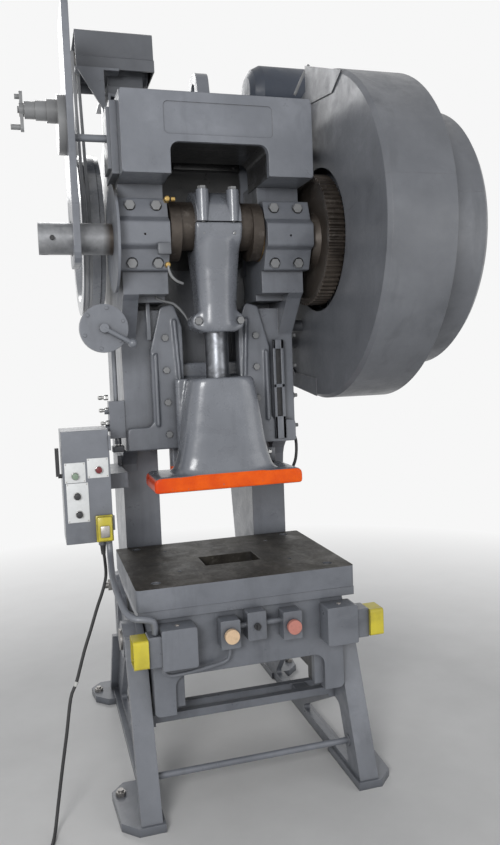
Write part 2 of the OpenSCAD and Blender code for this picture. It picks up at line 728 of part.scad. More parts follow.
// Loop round two wheels, joined by straight runs
function loop(a, ra, b, rb) =
    let (line = b - a, lie = atan2(line.y, line.x), open = acos((ra - rb) / norm(line)))
    concat(arc(a, ra, lie + open, lie + 360 - open, 40), arc(b, rb, lie - open, lie + open, 16));
belt_t = 11;
belt_gap = 1.2;
belt_high = groove_r + belt_gap;
belt_low = pulley_r - 12 + belt_gap;
flywheel_at = [shaft_y, shaft_z];
motor_at = [motor_y, motor_z];
module drive_belts() {
    color(black) for (k = [0, 1]) {
        x0 = flywheel_x - flywheel_w + ridge + k * (ridge + groove_w);
        along_x(x0 + 0.5, x0 + groove_w - 0.5) difference() {
            polygon(loop(flywheel_at, belt_high + belt_t, motor_at, belt_low + belt_t));
            polygon(loop(flywheel_at, belt_high, motor_at, belt_low));
        }
    }
}

// Drum guard in two halves, turned about the crankshaft
drum_profile = [
    [drum_hole_r, drum_x], [drum_r - 14, drum_x], [drum_r, drum_x + 14],
    [drum_r, drum_mid], [drum_small_r, drum_mid], [drum_small_r, drum_end - 20],
    [drum_small_r - 20, drum_end], [0, drum_end], [0, drum_end - sheet],
    [drum_small_r - 22, drum_end - sheet],
    [drum_small_r - sheet, drum_end - 22], [drum_small_r - sheet, drum_mid - sheet],
    [drum_r - sheet, drum_mid - sheet], [drum_r - sheet, drum_x + 16],
    [drum_r - 16, drum_x + sheet], [drum_hole_r, drum_x + sheet]
];
module drum_half(a0) {
    translate([0, 0, crank_z]) rotate([a0, 0, 0]) rotate([0, 90, 0]) rotate([0, 0, 90])
        rotate_extrude(angle = 180, $fn = 96) polygon(drum_profile);
}
// Brackets tie each half of the guard to the frame
upper_brackets = [[180, 390], [480, 260]];
lower_brackets = [[230, -330], [430, -400]];
module drum_guard_upper() {
    color(dark_paint) difference() {
        union() {
            drum_half(-seam_tilt);
            for (p = upper_brackets) rod_x(frame_half, drum_x + 1, 24, p.x, crank_z + p.y);
        }
        rod_x(drum_x - 1, drum_x + sheet + 1, shaft_r + 6, shaft_y, shaft_z);
    }
    // Corner plate on the face, standing out past the round
    color(dark_paint) translate([0, 0, crank_z + drum_r]) along_x(drum_x - 5.2, drum_x - 0.2)
        polygon([[-294, -73], [70, 78], [70, -82], [-200, -122]]);
}
module drum_guard_lower() {
    color(dark_paint) union() {
        drum_half(180 - seam_tilt);
        for (p = lower_brackets) rod_x(frame_half, drum_x + 1, 24, p.x, crank_z + p.y);
    }
    color(dark_paint) along_x(drum_x - 5.2, drum_x - 0.2) polygon(
        [[52, crank_z - 636], [343, crank_z - 598], [500, crank_z - 403], [470, crank_z - 440],
            [300, crank_z - 540], [52, crank_z - 560]]);
}

// Speed setting hub on the guard, turned by a small crank
hub_end = guard_out - 142;
hub_disc_z = crank_z + 412;
module speed_hub() {
    color(steel) difference() {
        union() {
            rod_x(guard_out - 28, guard_out, 105, hub_y, hub_disc_z);
            rod_x(guard_out - 64, guard_out - 27, 42, hub_y, hub_z);
            rod_x(guard_out - 104, guard_out - 63, 35, hub_y, hub_z);
            rod_x(hub_end, guard_out - 103, 31, hub_y, hub_z);
        }
        rod_x(hub_end - 1, guard_out + 1, 12 + run, hub_y, hub_z);
    }
}
module speed_crank() {
    color(steel) union() {
        rod_x(hub_end - 24, guard_out - 10, 12, hub_y, hub_z);
        rod_x(hub_end - 18, hub_end - 0.5, 24, hub_y, hub_z);
        translate([hub_end - 16, hub_y, hub_z]) along_x(0, 12)
            polygon(rounded([[-14, -78], [14, -78], [18, 66], [-18, 66]], [12, 12, 16, 16]));
        rod_x(hub_end - 50, hub_end - 10, 10, hub_y, hub_z - 62);
        rod_x(hub_end - 32, hub_end - 10, 9, hub_y, hub_z + 46);
    }
}

// Round case with a lever on its face
dial_r = 88;
dial = [-frame_half - dial_r, crank_z - 340];
dial_y0 = -130;
dial_y1 = -92;
module dial_case() {
    color(paint) difference() {
        union() {
            rod_y(dial_y0, dial_y1, dial_r, dial.x, dial.y);
            rod_y(dial_y1 - 1, -40, 60, dial.x, dial.y);
            block(-frame_half - 68, -frame_half - 8, -60, 190, dial.y - 22, dial.y + 22);
            block(-frame_half - 12, -frame_half, 130, 230, dial.y - 50, dial.y + 50);
            for (a = [20:60:320])
                rod_y(dial_y0 - 2, dial_y0 + 1, 6, dial.x + 74 * cos(a), dial.y + 74 * sin(a));
        }
        rod_y(dial_y0 - 1, -60, 9 + run, dial.x, dial.y);
    }
}
lever_end = [99, -57];
module dial_lever() {
    color(steel) union() {
        rod_y(dial_y0 - 16, -70, 9, dial.x, dial.y);
        rod_y(dial_y0 - 20, dial_y0 - 0.5, 17, dial.x, dial.y);
        translate([dial.x, dial_y0 - 12, dial.y]) rotate([0, -atan2(lever_end.y, lever_end.x), 0])
            union() {
                rotate([0, 90, 0]) cylinder(h = norm(lever_end), r = 9);
                translate([norm(lever_end), 0, 0]) sphere(r = 17, $fn = 24);
            }
    }
}

// Air valve on the left cheek with its pipe
valve_z0 = head_z + 55;
module air_valve() {
    color(steel) union() {
        block(-frame_half - 62, -frame_half, 118, 180, valve_z0, valve_z0 + 150);
        rod_z(valve_z0 + 149, dial.y - 22, 9, -frame_half - 30, 150);
        rod_z(valve_z0 - 26, valve_z0 + 1, 14, -frame_half - 30, 150);
        rod_x(-frame_half - 78, -frame_half - 61, 13, 150, valve_z0 + 110);
        rod_x(-frame_half - 78, -frame_half - 61, 13, 150, valve_z0 + 40);
    }
}

// Air tank lying across the rear of the crown on two saddles
tank_r = 120;
tank_y = 440;
tank_z = crown_top + tank_r + 107;
tank_x0 = frame_half - 77;
tank_x1 = tank_x0 + 405;
module air_tank() {
    color([0.28, 0.3, 0.38]) union() {
        turned_x(tank_y, tank_z) polygon(concat(
            [[0, tank_x0]], [[70, tank_x0 + 6], [100, tank_x0 + 22], [tank_r, tank_x0 + 60]],
            [[tank_r, tank_x1 - 60], [100, tank_x1 - 22], [70, tank_x1 - 6], [0, tank_x1]]));
        block(tank_x0 + 40, tank_x0 + 52, 240, tank_y + 60, crown_top, tank_z - 80);
        block(tank_x0 + 12, frame_half - 14, 240, 340, crown_top, crown_top + 12);
    }
}

// Lifting lug on the crown
module lifting_lug() {
    color(paint) difference() {
        union() {
            along_x(-15, 35) polygon(rounded(
                [[60, crown_top], [280, crown_top], [230, crown_top + 190], [110, crown_top + 190]],
                [0, 0, 55, 55]));
            block(-50, 70, 50, 290, crown_top, crown_top + 14);
        }
        rod_x(-16, 36, 34, 170, crown_top + 120);
    }
}

// Palm button boxes at both ends of the front, each with a shroud round its button
palm_z = 618;
big_boxes = [[215, 340], [270, 390]];
big_z0 = 549;
big_z1 = 692;
small_box_w = 46;
hood_len = 53;
hood_half = 50;
palm_y = (box_y + front_y) / 2;
module palm_box(inner, outer) {
    color(paint) difference() {
        union() {
            along_y(box_y, front_y) rounded_box(inner, outer, big_z0, big_z1, 8);
            along_y(box_y + 8, front_y - 8)
                rounded_box(outer - 1, outer + small_box_w, palm_z - 54, palm_z + 54, 5);
        }
        block(inner + 4, outer - 4, box_y + 4, front_y - 4, big_z0 + 4, big_z1 - 4);
        rod_x(outer + 4, outer + small_box_w + 1, 10 + run, palm_y, palm_z);
    }
}
module palm_box_left() {
    mirror([1, 0, 0]) palm_box(big_boxes[0][0], big_boxes[0][1]);
}
module palm_box_right() {
    palm_box(big_boxes[1][0], big_boxes[1][1]);
}
module hood_outline(inset, r) {
    rounded_box(box_y - 6 + inset, front_y - 2 - inset,
        palm_z - hood_half + inset, palm_z + hood_half - inset, r);
}
module palm_hood(outer) {
    x0 = outer + small_box_w;
    color(yellow) difference() {
        along_x(x0, x0 + hood_len) hood_outline(0, 10);
        along_x(x0 + 4, x0 + hood_len + 1) hood_outline(4, 8);
        rod_x(x0 - 1, x0 + 5, 10 + run, palm_y, palm_z);
    }
}
module palm_hood_left() {
    mirror([1, 0, 0]) palm_hood(big_boxes[0][1]);
}
module palm_hood_right() {
    palm_hood(big_boxes[1][1]);
}
module palm_button(outer) {
    x0 = outer + small_box_w;
    color(black) union() {
        rod_x(outer + 4 + palm_travel + 3, x0 + 30, 10, palm_y, palm_z);
        rod_x(x0 + 4 + palm_travel + 6, x0 + 42, palm_r, palm_y, palm_z);
    }
}
module palm_button_left() {
    mirror([1, 0, 0]) palm_button(big_boxes[0][1]);
}
module palm_button_right() {
    palm_button(big_boxes[1][1]);
}

// Three small boxes between the palm boxes, with their nipples
small_x = [-90, 8, 143];
small_z = [637, 656, 640];
small_w = [72, 70, 72];
stop_r = 22;
module button_boxes() {
    color(paint) difference() {
        union() {
            for (i = [0:2]) along_y(front_y - 60, front_y)
                rounded_box(small_x[i] - small_w[i] / 2, small_x[i] + small_w[i] / 2,
                    small_z[i] - 52, small_z[i] + 52, 6);
            rod_x(small_x[0] + 30, small_x[1] - 30, 10, front_y - 28, 655);
            rod_x(small_x[1] + 30, small_x[2] - 30, 10, front_y - 28, 655);
        }
        for (i = [0:2]) rod_y(front_y - 61, front_y - 10, 8 + run, small_x[i], small_z[i]);
    }
}
module stop_button(i, tint) {
    color(tint) union() {
        rod_y(front_y - 84, front_y - 68, stop_r + 4, small_x[i], small_z[i]);
        rod_y(front_y - 69, front_y - 20, 8, small_x[i], small_z[i]);
    }
}
module stop_button_left() {
    stop_button(0, [0.85, 0.7, 0.5]);
}
module stop_button_right() {
    stop_button(2, [0.8, 0.35, 0.35]);
}
module key_switch() {
    color(black) union() {
        rod_y(front_y - 70, front_y - 60.5, 12, small_x[1], small_z[1]);
        rod_y(front_y - 61, front_y - 20, 8, small_x[1], small_z[1]);
        block(small_x[1] - 3, small_x[1] + 3, front_y - 80, front_y - 69, small_z[1] - 10, small_z[1] + 10);
    }
}

// Conduit from the panel down to the front boxes
conduit_d = 24;
conduit_route = [
    [-467, -60, 950.6], [-467, -60, 940], [-467, -62, 925], [-468, -84, 884], [-472, -160, 842],
    [-470, -230, 812],
    [-462, -300, 782], [-449, -356, 752], [-425, -386, 737], [-392, -396, 732], [-365, -395, 722],
    [-357, -392, 700], [-357, -392, 673.8]
];
low_conduit = [
    [-330, -385, 547.8], [-330, -385, 530], [-300, -374, 512], [-200, -366, 515], [-110, -366, 530],
    [-91, -369, 555], [-90, -370, 583.8]
];
module control_conduit() {
    color(paint) union() {
        tube_along(route_points(conduit_route, 4), conduit_d, 10);
        tube_along(route_points(low_conduit, 3), 14, 8);
    }
}

// Electric panel on an arm of the left column
module panel_box() {
    color(paint) difference() {
        union() {
            block(panel_x0, panel_x1, panel_y0, panel_y1, panel_z0, panel_z1);
            block(panel_x1 - 2, -frame_half - 8, panel_y1 - 20, throat_y + 60, 1120, 1180);
            block(-frame_half - 20, -frame_half, throat_y + 2, throat_y + 120, 1080, 1220);
            rod_z(gland.z, panel_z0 + 1, 16, gland.x, gland.y);
            // Fixed knuckles of the door's hinges, each on a leaf
            for (z = hinge_z) {
                block(panel_x1 - 0.2, panel_x1 + 2, hinge_y, panel_y0 + 24, z + 18.3, z + 36);
                rod_z(z + 18.3, z + 36, 5, hinge_x, hinge_y);
            }
        }
        block(panel_x0 + 3, panel_x1 - 3, panel_y0 - 1, panel_y1 - 4, panel_z0 + 3, panel_z1 - 3);
        rod_z(gland.z - 1, panel_z0 + 10, 6, gland.x, gland.y);
        rod_x(panel_x0 - 1, panel_x0 + 4, 8 + run, panel_y0 + 60, 1200);
    }
}
module panel_door() {
    color(paint) difference() {
        union() {
            along_y(panel_y0 - 6, panel_y0 - 0.5)
                rounded_box(panel_x0 + 0.5, panel_x1 - 0.5, panel_z0 + 0.5, panel_z1 - 0.5, 4);
            for (p = panel_lamps) rod_y(panel_y0 - 16, panel_y0 - 5, 11, p.x, p.y);
            for (z = hinge_z) rod_z(z - 18, z + 18, 5, hinge_x, hinge_y);
        }
        for (z = hinge_z) rod_z(z + 18, z + 37, 6, hinge_x, hinge_y);
    }
}
hinge_x = panel_x1 + 1;
hinge_y = panel_y0 - 9;
hinge_z = [panel_z0 + 60, panel_z1 - 60];
panel_lamps = [[-582, 1205], [-496, 1222], [-578, 1130], [-574, 1062]];
module disconnect_lever() {
    color(black) union() {
        rod_x(panel_x0 - 14, panel_x0 + 20, 8, panel_y0 + 60, 1200);
        block(panel_x0 - 22, panel_x0 - 8, panel_y0 + 48, panel_y0 + 72, 1200, 1305);
    }
}

// Hose held at both ends on the right cheek
hose_route = [
    [frame_half + 8, 200, head_z + 40], [frame_half + 24, 185, head_z - 10],
    [frame_half + 22, 190, head_z - 90], [frame_half + 10, 230, head_z - 150],
    [frame_half + 8, 290, head_z - 170], [frame_half + 8, 350, head_z - 165]
];
module air_hose() {
    color(black) union() {
        tube_along(route_points(hose_route, 4), 14, 8);
        rod_x(frame_half, frame_half + 18, 12, 200, head_z + 44);
        rod_x(frame_half, frame_half + 18, 12, 356, head_z - 165);
    }
}

// Crankshaft: journals, cheeks, crankpin and the long ends
stub_r = 58.5;
stub_end = guard_in - 145;
shaft_end = drum_end - 45;
cheek_in = 110;
module crankshaft() {
    color(steel) difference() {
        union() {
            rod_x(stub_end, -cap_out + 4, stub_r, 0, crank_z);
            rod_x(-cap_out + 3, -cap_in + 10, journal_r, 0, crank_z);
            rod_x(cap_in - 10, gear_x - 20, journal_r, 0, crank_z);
            rod_x(gear_x - 21, shaft_end, stub_r, 0, crank_z);
            both_sides() {
                rod_x(cheek_in + 30, cap_in - 7, pin_r + 20, 0, crank_z + throw * 0.6);
            }
            rod_x(-cheek_in - 31, cheek_in + 31, pin_r, 0, pin_z);
        }
        rod_z(crank_z - 80, crank_z + 80, 12, stub_end + 22, 0);
    }
}
module brake_disc() {
    color(dark_steel) difference() {
        rod_x(-(cap_out + 4 + disc_t), -(cap_out + 4), 200, 0, crank_z);
        rod_x(-(cap_out + 40), -(cap_out - 1), stub_r, 0, crank_z);
    }
}
module toothed_disc() {
    teeth = 72;
    color(dark_steel) difference() {
        along_x(cap_out + 12, drum_x + 12) translate([0, crank_z]) polygon(
            [for (i = [0:teeth - 1]) each [
                disc_r * [cos(360 * (i - 0.3) / teeth), sin(360 * (i - 0.3) / teeth)],
                disc_r * [cos(360 * (i + 0.05) / teeth), sin(360 * (i + 0.05) / teeth)],
                (disc_r - 9) * [cos(360 * (i + 0.25) / teeth), sin(360 * (i + 0.25) / teeth)],
                (disc_r - 9) * [cos(360 * (i + 0.5) / teeth), sin(360 * (i + 0.5) / teeth)]]]);
        rod_x(cap_out, drum_x + 40, journal_r, 0, crank_z);
        // Dished outer face
        turned_x(0, crank_z) polygon([[journal_r + 22, cap_out + 11], [disc_r - 22, cap_out + 11],
            [disc_r - 30, cap_out + 26], [journal_r + 40, cap_out + 40]]);
    }
}
module clutch_hub() {
    clutch_x = gear_x + gear_w + 45;
    color(dark_steel) difference() {
        turned_x(0, crank_z) polygon([[0, clutch_x], [300, clutch_x], [300, clutch_x + 50],
            [240, clutch_x + 55], [240, clutch_x + 145], [110, clutch_x + 155],
            [110, clutch_x + 215], [0, clutch_x + 215]]);
        rod_x(gear_x, drum_end, stub_r, 0, crank_z);
    }
}

// Large gear that turns on the crankshaft, with a web and six holes
module bull_gear() {
    color(steel) difference() {
        union() {
            along_x(gear_x, gear_x + gear_w) translate([0, crank_z]) gear_outline(bull_teeth, mesh_angle, 2);
            rod_x(gear_x - 12, gear_x + gear_w + 30, 115, 0, crank_z);
        }
        rod_x(gear_x - 30, gear_x + gear_w + 40, stub_r + run, 0, crank_z);
        for (x = [gear_x - 1, gear_x + gear_w - 34]) difference() {
            rod_x(x, x + 35, bull_r - 60, 0, crank_z);
            rod_x(x - 1, x + 36, 115, 0, crank_z);
        }
        for (a = [0:60:300])
            rod_x(gear_x - 1, gear_x + gear_w + 1, 58, 238 * cos(a), crank_z + 238 * sin(a));
    }
}

// Back shaft with the flywheel on the left and the pinion on the right
module backshaft() {
    color(steel) rod_x(guard_in + 8, gear_x + gear_w + 22, shaft_r, shaft_y, shaft_z);
}
module pinion() {
    color(steel) difference() {
        union() {
            along_x(gear_x - 2, gear_x + gear_w + 2) translate([shaft_y, shaft_z])
                gear_outline(pinion_teeth, mesh_angle + 180 + 180 / pinion_teeth, 3);
            rod_x(gear_x - 14, gear_x, 58, shaft_y, shaft_z);
        }
        rod_x(gear_x - 20, gear_x + gear_w + 10, shaft_r, shaft_y, shaft_z);
    }
}
module flywheel() {
    x1 = flywheel_x;
    x0 = x1 - flywheel_w;
    belts_end = x0 + 2 * (ridge + groove_w);
    color(dark_paint) difference() {
        turned_x(shaft_y, shaft_z) polygon([
            [shaft_r, x0 + 4], [75, x0 + 4], [80, x0 + 30], [flywheel_r - 70, x0 + 30], [flywheel_r - 62, x0],
            [flywheel_r, x0], [flywheel_r, x0 + ridge], [groove_r, x0 + ridge],
            [groove_r, x0 + ridge + groove_w],
            [flywheel_r, x0 + ridge + groove_w], [flywheel_r, x0 + 2 * ridge + groove_w],
            [groove_r, x0 + 2 * ridge + groove_w], [groove_r, belts_end], [flywheel_r, belts_end],
            [flywheel_r, x1 - 20], [flywheel_r - 6, x1 - 18], [flywheel_r - 6, x1],
            [flywheel_r - 62, x1], [flywheel_r - 70, x1 - 30], [80, x1 - 30], [75, x1], [shaft_r, x1]]);
        for (i = [0:4]) rod_x(x0, x1, 48, shaft_y + 165 * cos(72 * i), shaft_z + 165 * sin(72 * i));
    }
}
module motor_pulley() {
    x0 = flywheel_x - flywheel_w;
    x1 = x0 + ridge + groove_w;
    x2 = x1 + ridge + groove_w;
    low_r = pulley_r - 12;
    color(steel) union() {
        rod_x(x0 + 6, motor_x1 - 30, 19, motor_y, motor_z);
        turned_x(motor_y, motor_z) polygon([
            [0, x0], [pulley_r, x0], [pulley_r, x0 + ridge], [low_r, x0 + ridge], [low_r, x1], [pulley_r, x1],
            [pulley_r, x1 + ridge], [low_r, x1 + ridge], [low_r, x2], [pulley_r, x2], [pulley_r, x2 + ridge],
            [0, x2 + ridge]]);
    }
}

// Pitman: eye round the crankpin, body and clamp for the screw
eye_half = 92;
eye_r = 128;
clamp_half = guide_half - 12;
clamp_bolt_x = 84;
clamp_z = crank_z - 316;
clamp_bottom = clamp_z - 46;
module pitman() {
    color(paint) difference() {
        union() {
            intersection() {
                along_y(-150, 150) polygon(rounded(
                    [[-78, clamp_bottom + 18], [78, clamp_bottom + 18], [77, clamp_z + 70], [88, pin_z - 110],
                        [eye_half, pin_z - 40], [eye_half, pin_z - 0.2], [-eye_half, pin_z - 0.2],
                        [-eye_half, pin_z - 40],
                        [-88, pin_z - 110], [-77, clamp_z + 70]],
                    [20, 20, 60, 60, 40, 0, 0, 40, 60, 60]));
                union() {
                    rod_x(-100, 100, eye_r, 0, pin_z);
                    loft([[clamp_bottom, 0, 0, 82, 80, 3], [clamp_z + 60, 0, 0, 84, 84, 2.6],
                        [pin_z - 170, 0, 0, 96, 98, 2.6], [pin_z - 60, 0, 0, 108, 122, 2.6]], 32);
                }
            }
            // Clamp flanges with a bolt each
            along_y(-62, 62) polygon(rounded(
                [[-clamp_half, clamp_z - 40], [clamp_half, clamp_z - 40], [clamp_half, clamp_z + 34],
                    [-clamp_half, clamp_z + 34]],
                [36, 36, 36, 36]));
            rod_z(clamp_bottom, clamp_z - 10, 78, 0, 0);
        }
        rod_x(-120, 120, pin_r + run, 0, pin_z);
        rod_z(clamp_bottom - 1, clamp_z + 150, screw_r + run, 0, 0);
        for (x = [-clamp_bolt_x, clamp_bolt_x]) rod_y(-70, 70, 9, x, clamp_z - 2);
        for (x = [-strap_bolt_x, strap_bolt_x], y = [-strap_bolt_y, strap_bolt_y])
            rod_z(pin_z - 46, pin_z + 1, 10, x, y);
    }
}
strap_bolt_x = 59;
strap_bolt_y = 110;

// Strap over the top of the crankpin, with a boss for each bolt
strap_top = pin_z + 118;
rear_boss_top = pin_z + 92;
module pitman_strap() {
    color(paint) difference() {
        union() {
            intersection() {
                rod_x(-86, 86, eye_r, 0, pin_z);
                block(-100, 100, -150, 150, pin_z + 0.2, pin_z + 200);
            }
            for (s = [-1, 1], y = [-strap_bolt_y, strap_bolt_y])
                rod_z(pin_z + 0.2, y < 0 ? strap_top : rear_boss_top, 24, s * strap_bolt_x, y);
        }
        rod_x(-120, 120, pin_r + run, 0, pin_z);
        for (s = [-1, 1], y = [-strap_bolt_y, strap_bolt_y])
            rod_z(pin_z - 1, strap_top + 10, 10, s * strap_bolt_x, y);
    }
}
module pitman_bolts() {
    color(steel) {
        for (x = [-clamp_bolt_x, clamp_bolt_x]) {
            rod_y(-70, 66, 9, x, clamp_z - 2);
            hex_y(-74, -62, 15, x, clamp_z - 2);
            hex_y(62, 74, 15, x, clamp_z - 2);
        }
        for (s = [-1, 1], y = [-strap_bolt_y, strap_bolt_y]) {
            top = y < 0 ? strap_top : rear_boss_top;
            rod_z(pin_z - 46, top + 10, 10, s * strap_bolt_x, y);
            translate([s * strap_bolt_x, y, top]) cylinder(h = 12, r = 18, $fn = 6);
        }
    }
}

// Adjusting screw with its collar and ball end
screw_bottom = slide_top - 120;
module adjusting_screw() {
    color(steel) union() {
        rod_z(slide_top - 60, clamp_z + 140, screw_r, 0, 0);
        rod_z(slide_top - 100, slide_top - 59, 34, 0, 0);
        translate([0, 0, screw_bottom + 10]) sphere(r = 44);
    }
}

// Slide: bell-shaped body, wings in the guides, flange and cavity for the screw
slide_cy = -28;
cavity_bottom = screw_bottom - 34 - stroke - 6;
flange_top = slide_bottom + 61;
module slide() {
    color(paint) difference() {
        union() {
            loft([
                [flange_top - 12, 0, slide_cy, 222, 108, 5], [flange_top + 16, 0, slide_cy, 194, 102, 4],
                [flange_top + 60, 0, slide_cy, 180, 98, 3.6], [slide_bottom + 185, 0, slide_cy, 166, 98, 3.6],
                [slide_bottom + 300, 0, slide_cy, 150, 98, 3.6],
                [slide_top - 30, 0, slide_cy, slide_top_half + 2, 98, 4],
                [slide_top - 8, 0, slide_cy, slide_top_half - 3, 96, 4],
                [slide_top, 0, slide_cy, slide_top_half - 14, 88, 4]], 40);
            along_y(-140, 92) polygon(rounded(
                [[-flange_half, slide_bottom], [flange_half, slide_bottom], [flange_half, flange_top],
                    [-flange_half, flange_top]],
                [10, 10, 26, 26]));
            block(-(guide_half - 3), guide_half - 3, 60, wing_y0 + 5, slide_bottom + 20, slide_top);
            block(-wing_half, wing_half, wing_y0, wing_y1, slide_bottom + 20, slide_top + 60);
            // Oil channel with a round edge along the left guide plate
            block(-150, -100, 44, 74, flange_top - 5, slide_top - 4);
            rod_z(flange_top - 5, slide_top - 4, 15, -150, 59);
        }
        // Cavity for the screw, long enough for its swing
        block(-(screw_r + 5), screw_r + 5, -(throw + screw_r + 3), throw + screw_r + 3,
            cavity_bottom, slide_top + 70);
        rod_z(slide_bottom - 1, slide_bottom + 90, shank_r, 0, 0);
        for (x = [-face_hole_x, face_hole_x], y = [-face_hole_y, face_hole_y])
            rod_z(slide_bottom - 1, slide_bottom + 50, face_hole_r, x, y);
    }
}
face_hole_x = 200;
face_hole_y = 60;
face_hole_r = 8;

// Power cord from the panel to the floor, its coil and its plug
module power_cord() {
    color(black) tube_along(route_points(cord_route, 3), cord_d, 8);
}
module cord_coil() {
    color(black) translate([coil_at.x, coil_at.y, 0.5]) rotate_extrude($fn = 64)
        translate([coil_r - coil_w / 2, 0]) square([coil_w, coil_h]);
}
module cord_plug() {
    y = coil_at.y + coil_r + coil_w / 2 + plug_r + 0.3;
    color(black) union() {
        rod_x(coil_at.x - 8, coil_at.x + 63, plug_r, y, plug_r + 0.5);
        rod_x(coil_at.x - 42, coil_at.x - 7, plug_r - 6, y, plug_r + 0.5);
    }
}

leg_left();
leg_right();
tie_rod();
cross_frame();
anchor_bolts();
main_frame();
bolster_plate();
frame_pins();
bearing_cap_left();
bearing_cap_right();
main_bushes();
frame_bolts();
gib_left();
gib_right();
belt_guard();
motor_bracket();
motor_housing();
motor_cover();
drive_belts();
drum_guard_upper();
drum_guard_lower();
speed_hub();
dial_case();
air_valve();
air_tank();
lifting_lug();
palm_box_left();
palm_box_right();
button_boxes();
palm_hood_left();
palm_hood_right();
control_conduit();
panel_box();
air_hose();
crankshaft();
brake_disc();
toothed_disc();
clutch_hub();
pitman();
pitman_strap();
pitman_bolts();
adjusting_screw();
slide();
bull_gear();
backshaft();
flywheel();
pinion();
motor_pulley();
dial_lever();
speed_crank();
palm_button_left();
palm_button_right();
stop_button_left();
stop_button_right();
key_switch();
panel_door();
disconnect_lever();
power_cord();
cord_coil();
cord_plug();
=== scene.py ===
import json
from math import cos, pi, radians, sin

import bmesh
import bpy
from mathutils import Matrix, Vector


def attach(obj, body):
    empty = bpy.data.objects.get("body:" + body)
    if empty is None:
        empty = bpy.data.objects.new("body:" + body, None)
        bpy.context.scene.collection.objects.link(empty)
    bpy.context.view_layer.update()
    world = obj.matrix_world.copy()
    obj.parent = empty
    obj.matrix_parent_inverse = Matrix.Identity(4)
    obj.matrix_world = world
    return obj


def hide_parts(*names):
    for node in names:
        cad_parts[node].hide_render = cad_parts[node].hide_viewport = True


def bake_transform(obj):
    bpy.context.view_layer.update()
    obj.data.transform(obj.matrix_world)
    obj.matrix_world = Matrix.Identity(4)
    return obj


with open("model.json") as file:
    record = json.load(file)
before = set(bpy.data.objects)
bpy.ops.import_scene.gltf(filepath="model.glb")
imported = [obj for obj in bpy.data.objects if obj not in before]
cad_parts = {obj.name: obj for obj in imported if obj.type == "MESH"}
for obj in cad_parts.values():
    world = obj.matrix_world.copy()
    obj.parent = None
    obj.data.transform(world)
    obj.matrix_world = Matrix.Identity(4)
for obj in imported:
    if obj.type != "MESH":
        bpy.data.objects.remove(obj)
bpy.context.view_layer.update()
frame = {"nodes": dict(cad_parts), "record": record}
NODES = frame["nodes"]


# Camera at the photograph's viewing angle
IMAGE_H = 845
EYE = Vector((-0.7136, -2.90, 1.60))
YAW, PITCH, ROLL = radians(16.136), radians(-4.674), radians(2.19)
SENSOR = 36.0
FOCAL_SHARE = 746.6 / IMAGE_H
FAR_CLIP = 100


def make_camera():
    """The photograph's camera: eye, turn, tilt and roll as solved from its lines."""
    ahead = Vector((sin(YAW) * cos(PITCH), cos(YAW) * cos(PITCH), sin(PITCH)))
    right = Vector((cos(YAW), -sin(YAW), 0))
    down = ahead.cross(right)
    level = cos(ROLL) * right + sin(ROLL) * down
    up = sin(ROLL) * right - cos(ROLL) * down
    data = bpy.data.cameras.new("camera")
    data.sensor_width = SENSOR
    data.lens = SENSOR * FOCAL_SHARE
    data.clip_end = FAR_CLIP
    data.dof.use_dof = False
    camera = bpy.data.objects.new("camera", data)
    bpy.context.scene.collection.objects.link(camera)
    camera.matrix_world = Matrix((
        (level.x, up.x, -ahead.x, EYE.x),
        (level.y, up.y, -ahead.y, EYE.y),
        (level.z, up.z, -ahead.z, EYE.z),
        (0, 0, 0, 1)))
    bpy.context.scene.camera = camera


make_camera()


